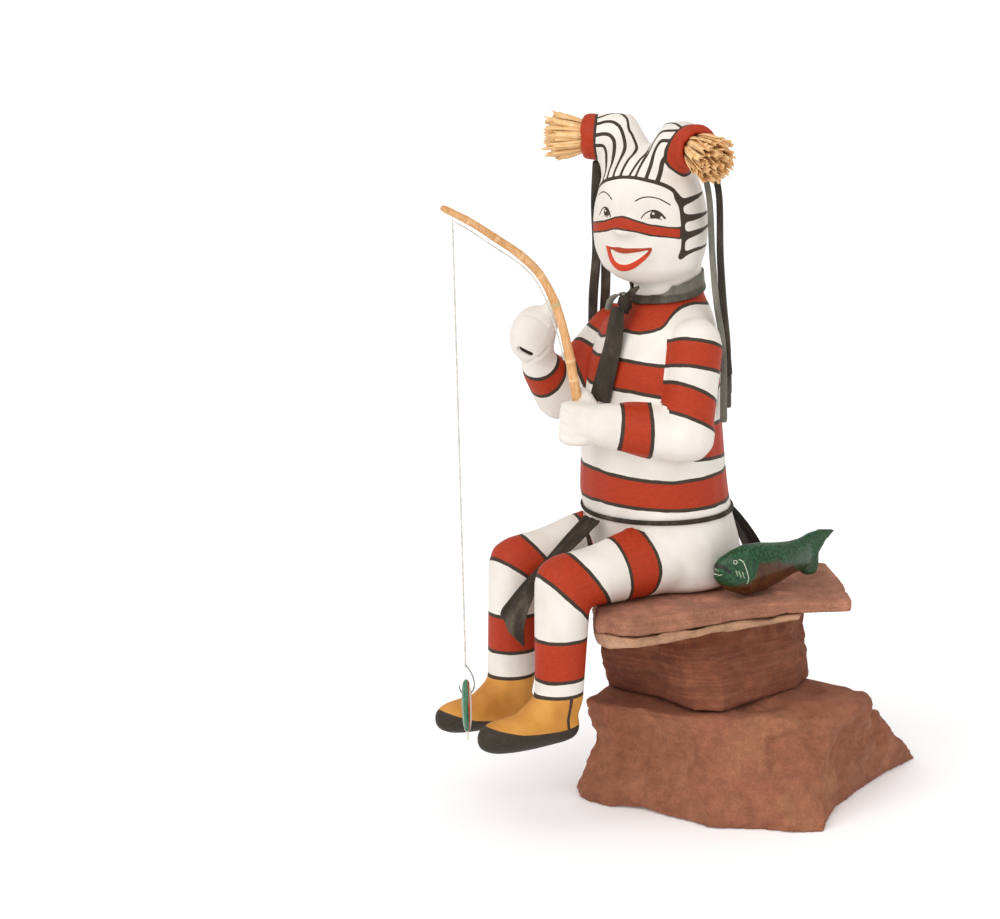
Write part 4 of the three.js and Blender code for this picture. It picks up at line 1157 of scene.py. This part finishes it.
def makeRod(look):
    path = figurePath(look["route"], 160)
    shares = np.linspace(0, 1, 161)
    near = np.abs(shares[:, None] - np.array(look["nodes"])).min(1)
    knuckle, ring, binding = look["spans"]
    bound = np.exp(-(((shares - look["tie"]) / binding) ** 4))
    radii = look["radius"] * np.interp(shares, *zip(*look["girths"]))
    radii += look["nodeRise"] * np.exp(-((near / knuckle) ** 2)) + look["tieRise"] * bound
    piece = newPiece("twig_rod", roundAlong(path, radii, 20), peeledTwig(), "twig", "rod")
    gaps = ((vertexValues(piece.data, "co")[:, None, :] - np.array(path) * mm) ** 2).sum(2)
    nearest = np.argmin(gaps, axis=1)
    keepField(piece.data, "node", 0.7 * np.exp(-((near[nearest] / ring) ** 2)))
    keepField(piece.data, "tie", bound[nearest])
    print("rod")


def twistedThread():
    # Waxed line, grey white; its twist is far finer than the picture shows and is drawn as soft mottling
    material, add, place = startMaterial("twistedThread", {"Roughness": 0.45})
    twist = add("TexNoise", {"Vector": place, "Scale": per(2.2), "Detail": 2.0})
    colour = add("ValToRGB", {0: twist}, stops=((0.35, "#B9B5AD"), (0.65, "#DEDAD2")))
    return finishMaterial(material, add, colour, (), twist, 0.08, 0.5)


def makeLine(look, material, hook, lure):
    top = Vector(look["top"]) + figurePlace
    data = bpy.data.curves.new("line", "CURVE")
    data.dimensions = "3D"
    spline = data.splines.new("POLY")
    steps = 29
    spline.points.add(steps)
    for i, point in enumerate(spline.points):
        point.co = (*((top - Vector((0, 0, look["long"] * i / steps))) * mm), 1)
    data.bevel_depth = look["thick"] / 2 * mm
    data.bevel_resolution = 3
    data.use_fill_caps = True
    data.materials.append(material)
    line = addObject("thread_line", data)
    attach(line, "root")
    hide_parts("fishing_line")
    print("line")


def makeRodLine(look, material):
    steps, fine = 64, 200
    path = figurePath(rodLook["route"], fine)
    ways = headings(path)
    start, end = look["ends"]
    route = []
    for i in range(steps + 1):
        k = round((start + (end - start) * i / steps) * fine)
        under = Vector((0, -ways[k].z, ways[k].y)).normalized()
        slack = look["slack"] * math.sin(2 * math.pi * i / steps) ** 2
        route.append(path[k] + under * (look["under"] + slack))
    bm = roundAlong(route, [look["radius"]] * len(route), 8)
    newPiece("thread_under_rod", bm, material, "thread", "rod_line")
    print("rod line")


def brightWire():
    # Bent steel wire: bright, with the fine lines of drawing
    material, add, place = startMaterial("brightWire", {"Roughness": 0.28, "Metallic": 1.0})
    scratch = add("TexNoise", {"Vector": place, "Scale": per(0.6), "Detail": 2.0})
    colour = add("ValToRGB", {0: scratch}, stops=((0.3, "#8F8F8A"), (0.7, "#C9C9C4")))
    return finishMaterial(material, add, colour, (), scratch, 0.03, 0.4)


def fromLine(out, down):
    end = Vector(lineLook["top"]) - Vector((0, 0, lineLook["long"] + down))
    return end + Vector(alongStones) * out


def makeHook(look):
    path = figurePath([fromLine(*p) for p in look["route"]], 60)
    bm = roundAlong(path, look["radii"], 10, (0.2, 0.1, 1))
    down, ring, wire = look["eye"]
    middle = onFigure(fromLine(0, down))
    start = Matrix.Translation(middle + Vector((ring * mm, 0, 0))) @ Matrix.Rotation(math.pi / 2, 4, "X")
    coil = bmesh.ops.create_circle(bm, radius=wire * mm, segments=8, matrix=start)["verts"]
    edges = list({e for v in coil for e in v.link_edges})
    bmesh.ops.spin(bm, geom=coil + edges, cent=middle, axis=(0, 1, 0), angle=2 * math.pi, steps=24,
                   use_merge=True)
    bmesh.ops.recalc_face_normals(bm, faces=bm.faces)
    print("hook")
    return newPiece("wire_hook", bm, brightWire(), "wire", "hook")


def glossPaint():
    # Carved wood under gloss paint: a green edge, one face white with a red middle, small brush ridges
    material, add, place, face = startMaterial("glossPaint", {"Roughness": 0.25, "Coat Weight": 0.4}, "face")
    blot = add("TexNoise", {"Vector": place, "Scale": per(3.0), "Detail": 3.0})
    colour = add("ValToRGB", {0: blot}, stops=((0.3, "#1F5A3C"), (0.7, "#337950")))
    coats = [(add("Math", {0: face, 1: limit}, operation="GREATER_THAN"), paint)
             for limit, paint in ((0.6, "#B4432D"), (0.9, "#E9E4DA"))]
    return finishMaterial(material, add, colour, coats, blot, 0.1, 0.3)


def makeLure(look):
    mesh = roundedMesh(mergedCopy("lure"), look["voxel"], look["polish"])
    heights = vertexValues(mesh, "co")[:, 2] / mm
    facing = vertexValues(mesh, "normal") @ np.array(alongStones)
    keepField(mesh, "face", np.where(heights < heights.min() + look["tail"], 1.0, facing))
    print("lure")
    return newPiece("painted_lure", mesh, glossPaint(), "green_paint", "lure")


# sandstones

stoneLook = {
    # chips: how many, smallest and largest size, least and greatest depth
    "base_stone": {"slot": "sandstone", "voxel": 2.4, "rough": 1.4, "beds": 0.08, "seed": 1,
                   "chips": (130, 9, 30, 0.5, 3.2), "colours": ("#9D5D42", "#AF6C4F", "#C58760"),
                   "hollow": ((24, -92, 42), 34, 6.5)},
    "block_stone": {"slot": "sandstone", "voxel": 1.9, "rough": 0.8, "beds": 0.35, "seed": 2,
                    "chips": (80, 7, 20, 0.4, 2.0), "colours": ("#7A3F29", "#955438", "#B27453")},
    "pale_slab": {"slot": "pale_stone", "voxel": 1.6, "rough": 0.8, "beds": 0.15, "seed": 3,
                  "chips": (60, 6, 16, 0.3, 1.6), "colours": ("#B88C69", "#CBA581", "#DDC2A2")},
    "top_slab": {"slot": "sandstone", "voxel": 1.6, "rough": 0.7, "beds": 0.2, "seed": 4,
                 "chips": (70, 6, 18, 0.3, 1.6), "colours": ("#A06850", "#BE8064", "#DAA689")},
}


def brokenStone(name, one):
    # Split sandstone: sugary grain about half a millimetre across, fine bedding lines, paler where chipped
    material, add, place, worn = startMaterial(name, {"Roughness": 0.92}, "worn")
    sand = add("TexNoise", {"Vector": place, "Scale": per(0.9), "Detail": 4.0, "Roughness": 0.7})
    grit = add("TexNoise", {"Vector": place, "Scale": per(7.0), "Detail": 8.0, "Roughness": 0.72})
    patch = add("TexNoise", {"Vector": place, "Scale": per(34.0), "Detail": 6.0, "Roughness": 0.6})
    flat = add("Mapping", {"Vector": place, "Scale": (1.0, 1.0, 14.0)})
    beds = add("TexNoise", {"Vector": flat, "Scale": per(26.0), "Detail": 4.0, "Roughness": 0.55})
    low, middle, high = one["colours"]
    colour = add("ValToRGB", {0: patch}, stops=((0.3, low), (0.52, middle), (0.74, high)))
    layer = add("ValToRGB", {0: beds}, stops=((0.36, low), (0.5, middle), (0.64, high)))
    speck = add("ValToRGB", {0: sand}, stops=((0.3, "#5C5C5C"), (0.7, "#A4A4A4")))
    crumb = add("ValToRGB", {0: grit}, stops=((0.36, "#9A9A9A"), (0.66, "#E0E0E0")))
    height = add("Math", {0: beds, 1: 0.8, 2: sand}, operation="MULTIPLY_ADD")
    height = add("Math", {0: grit, 1: 2.4, 2: height}, operation="MULTIPLY_ADD")
    coats = ((one["beds"], layer), (worn, high), (0.6, speck, "OVERLAY"), (0.45, crumb, "OVERLAY"))
    return finishMaterial(material, add, colour, coats, height, 1.0, 0.6)


def chipped(points, normals, one):
    # flat chips, each cut by a plane near a place on the surface; gives the points and how deep each was cut
    count, small, large, shallow, deep = one["chips"]
    rng = random.Random(one["seed"])
    start = points.copy()
    points = points / mm
    foot = points[:, 2].min()
    for chip in range(count):
        at = rng.randrange(len(points))
        normal = Vector(normals[at]) + Vector(rng.gauss(0, 0.35) for axis in range(3))  # leans at random
        normal = np.array(normal.normalized())
        size = rng.uniform(small, large)
        near = np.flatnonzero(inBox(points, points[at] - size, points[at] + size))
        over = (points[near] - points[at]) @ normal + rng.uniform(shallow, deep) * size / large
        fade = np.clip((size - awayFrom(points[near], points[at])) / (0.16 * size), 0, 1)
        fade *= np.clip((points[near, 2] - foot) / 12, 0.15, 1)  # the edge it stands on stays nearly whole
        points[near] -= normal * (np.clip(over, 0, deep) * fade)[:, None]
    return points * mm, np.linalg.norm(points * mm - start, axis=1) / mm


def makeStones(look):
    for node, one in look.items():
        mesh = roundedMesh(mergedCopy(node), one["voxel"], 2)
        points, normals = vertexValues(mesh, "co"), vertexValues(mesh, "normal")
        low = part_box(node)[0].z
        steep = 1 - np.abs(normals[:, 2])
        points, cuts = chipped(points, normals, one)
        if "hollow" in one:
            place, size, deep = one["hollow"]
            away = awayFrom(points / mm, place) / size
            points = points - normals * (deep * np.exp(-(away**2)))[:, None] * mm
        beds = roughness(points * np.array((1, 1, 7.0)), 0.026, one["seed"], 3)  # thin and wide
        lumps = roughness(points, 0.03, one["seed"] + 5, 4)
        depth = np.clip(0.5 + beds, 0, 1.4) * steep + np.clip(0.35 + lumps, 0, 1) * (0.25 + steep * 0.4)
        points = points - normals * (one["rough"] * depth)[:, None] * mm
        points[:, 2] = np.maximum(points[:, 2], low)
        movePoints(mesh, points)
        keepField(mesh, "worn", np.clip(cuts - 0.9, 0, 1) * 0.2)
        newPiece(f"rough_{node}", mesh, brokenStone(f"{node}Sandstone", one), one["slot"], node)
        print(node, len(mesh.polygons), "faces")


# fish

fishLook = {
    "voxel": 0.8,
    "polish": 8,
    # where the green back gives way to the rust belly: distance towards the back, height
    "change": ((-41.6, 142.3), (-29.5, 143.1), (-25.5, 148.4), (-21.8, 154), (-7.4, 152.7), (5, 148.6),
               (11, 143), (18, 132)),
    "white": (
        # points, half width at each end
        (((44.7, -34.3, 158), (45.7, -32.5, 156.6), (46.8, -31.7, 153.9), (47.5, -30.6, 149.7),
          (47.8, -30, 146.2), (46.8, -30.5, 143.2)), (0.32, 0.25)),
        (((45.7, -37.4, 151.7), (46, -36.5, 148.5)), (0.25, 0.18)),
        (((46.1, -35.8, 151.2), (46.6, -34.4, 147.3)), (0.25, 0.18)),
        (((46.7, -33.7, 150.7), (47.1, -32.5, 146.7)), (0.25, 0.18)),
        (((34.1, -45.9, 148.9), (37.6, -45, 148.7), (41.2, -44.6, 149.5)), (0.42, 0.25)),
        (((35.7, -46.1, 152.9), (39.6, -45.8, 151.5)), (0.25, 0.18)),
    ),
    # the mouth's dark line is painted shade in the open mouth: points, half width at each end
    "mouth": (((35.5, -45.9, 154), (38.8, -45.2, 154.6), (41.4, -43.4, 153.8), (43.2, -41.7, 152.3),
               (44.4, -40.3, 150.6)), (1.5, 0.7)),
    "eye": ((44.4, -37, 156.7), 1.3, 0.8),
}


def glazedFish():
    # Pottery under a clear glaze: deep green back with fine scales, rust and brown belly, olive chin; a dark
    # line of painted shade in the open mouth
    finish = {"Roughness": 0.4, "Specular IOR Level": 0.25, "Coat Weight": 0.22, "Coat Roughness": 0.1}
    material, add, place, height, white, dark = startMaterial("glazedFish", finish, "height", "white", "dark")
    scales = add("TexVoronoi", {"Vector": place, "Scale": per(1.5)})
    blot = add("TexNoise", {"Vector": place, "Scale": per(6.0), "Detail": 5.0, "Roughness": 0.65})
    swing = add("Math", {0: blot, 1: 0.5}, operation="SUBTRACT")
    level = add("Math", {0: swing, 1: 10.0, 2: height}, operation="MULTIPLY_ADD")
    share = add("Math", {0: level, 1: 0.3, 2: 0.5}, operation="MULTIPLY_ADD", use_clamp=True)
    back = add("ValToRGB", {0: scales}, stops=((0.1, "#0D2815"), (0.45, "#163F22"), (0.85, "#275631")))
    belly = add("ValToRGB", {0: blot}, stops=((0.3, "#361C0C"), (0.5, "#542C14"), (0.7, "#44401B")))
    coats = [(share, back)]
    # the dark coat: the pupil, and painted shade in the open mouth
    for mark, paint in ((white, "#B9BBA4"), (dark, "#1C1A14")):
        coats.append((add("Math", {0: mark, 1: 0.0}, operation="GREATER_THAN"), paint))
    return finishMaterial(material, add, belly, coats, scales, 0.2, 0.3)


def makeFish(look):
    mesh = roundedMesh(mergedCopy("fish"), look["voxel"], look["polish"])
    bm = bmeshOf(mesh)
    surface = BVHTree.FromBMesh(bm)
    points = vertexValues(mesh, "co") / mm
    refineNear(bm, (points[:, 1] < -26) & (points[:, 2] > 138), 2)  # its head
    bm.to_mesh(mesh)
    bm.free()
    points = vertexValues(mesh, "co") / mm

    def onFish(marks, halves):
        path, widths = strokeLine(marks, halves, 0.25)
        return np.array([surface.find_nearest(Vector(p) * mm)[0] / mm for p in path]), widths, 0.3

    white = insideStrokes(points, [onFish(*stroke) for stroke in look["white"]])
    # painted shade: the open mouth drawn as a dark line
    dark = insideStrokes(points, [onFish(*look["mouth"])])
    place, ring, pupil = look["eye"]
    away = awayFrom(points, surface.find_nearest(Vector(place) * mm)[0] / mm)
    keepField(mesh, "height", points[:, 2] - np.interp(points[:, 1], *zip(*look["change"])))
    keepField(mesh, "white", np.maximum(white, ring - away))
    keepField(mesh, "dark", np.maximum(dark, pupil - away))
    newPiece("glazed_fish", mesh, glazedFish(), "fish_glaze", "fish")
    print("fish", len(mesh.polygons), "faces")


# making everything

clay = makeFigure(figureLook)
hide = wornLeather(leatherLook)
makeRibbons(leatherLook, hide)
makeBelt(hide)
makeFlaps(flapLook, hide)
makeNeckerchief(neckLook, hide, clay)
makeTufts(tuftLook, dryHusk())
makeRod(rodLook)
threadPaint = twistedThread()
makeRodLine(rodLineLook, threadPaint)
makeLine(lineLook, threadPaint, makeHook(hookLook), makeLure(lureLook))
makeStones(stoneLook)
makeFish(fishLook)


# floor and light

studioLook = {
    "round": 0.74,  # light from all round
    "lights": (
        # name, where it comes from, how many degrees it spreads, power
        ("key", (0.35, -1.0, 1.0), 50.0, 1.05),
        ("side", (1.0, -0.3, 0.7), 60.0, 0.5),
    ),
}


def makeStudio(look):
    bm = bmesh.new()
    bmesh.ops.create_grid(bm, x_segments=1, y_segments=1, size=40.0)
    floor = addObject("floor", meshOf(bm, "floor"))
    finish = {"Roughness": 0.95, "Base Color": linear("#FFFFFF"), "Specular IOR Level": 0.0,
              "Emission Color": linear("#FFFFFF"), "Emission Strength": 0.1}
    floor.data.materials.append(startMaterial("paleFloor", finish)[0])
    world = bpy.data.worlds.new("studio")
    world.use_nodes = True
    sky = world.node_tree.nodes["Background"].inputs
    sky[0].default_value = (1, 0.99, 0.975, 1)
    sky[1].default_value = look["round"]
    bpy.context.scene.world = world
    for name, way, spread, power in look["lights"]:
        data = bpy.data.lights.new(name, "SUN")
        data.energy = power
        data.angle = math.radians(spread)
        light = addObject(name, data)
        light.rotation_euler = (-Vector(way)).to_track_quat("-Z", "Y").to_euler()
    bpy.context.scene.view_settings.view_transform = "Standard"


makeStudio(studioLook)
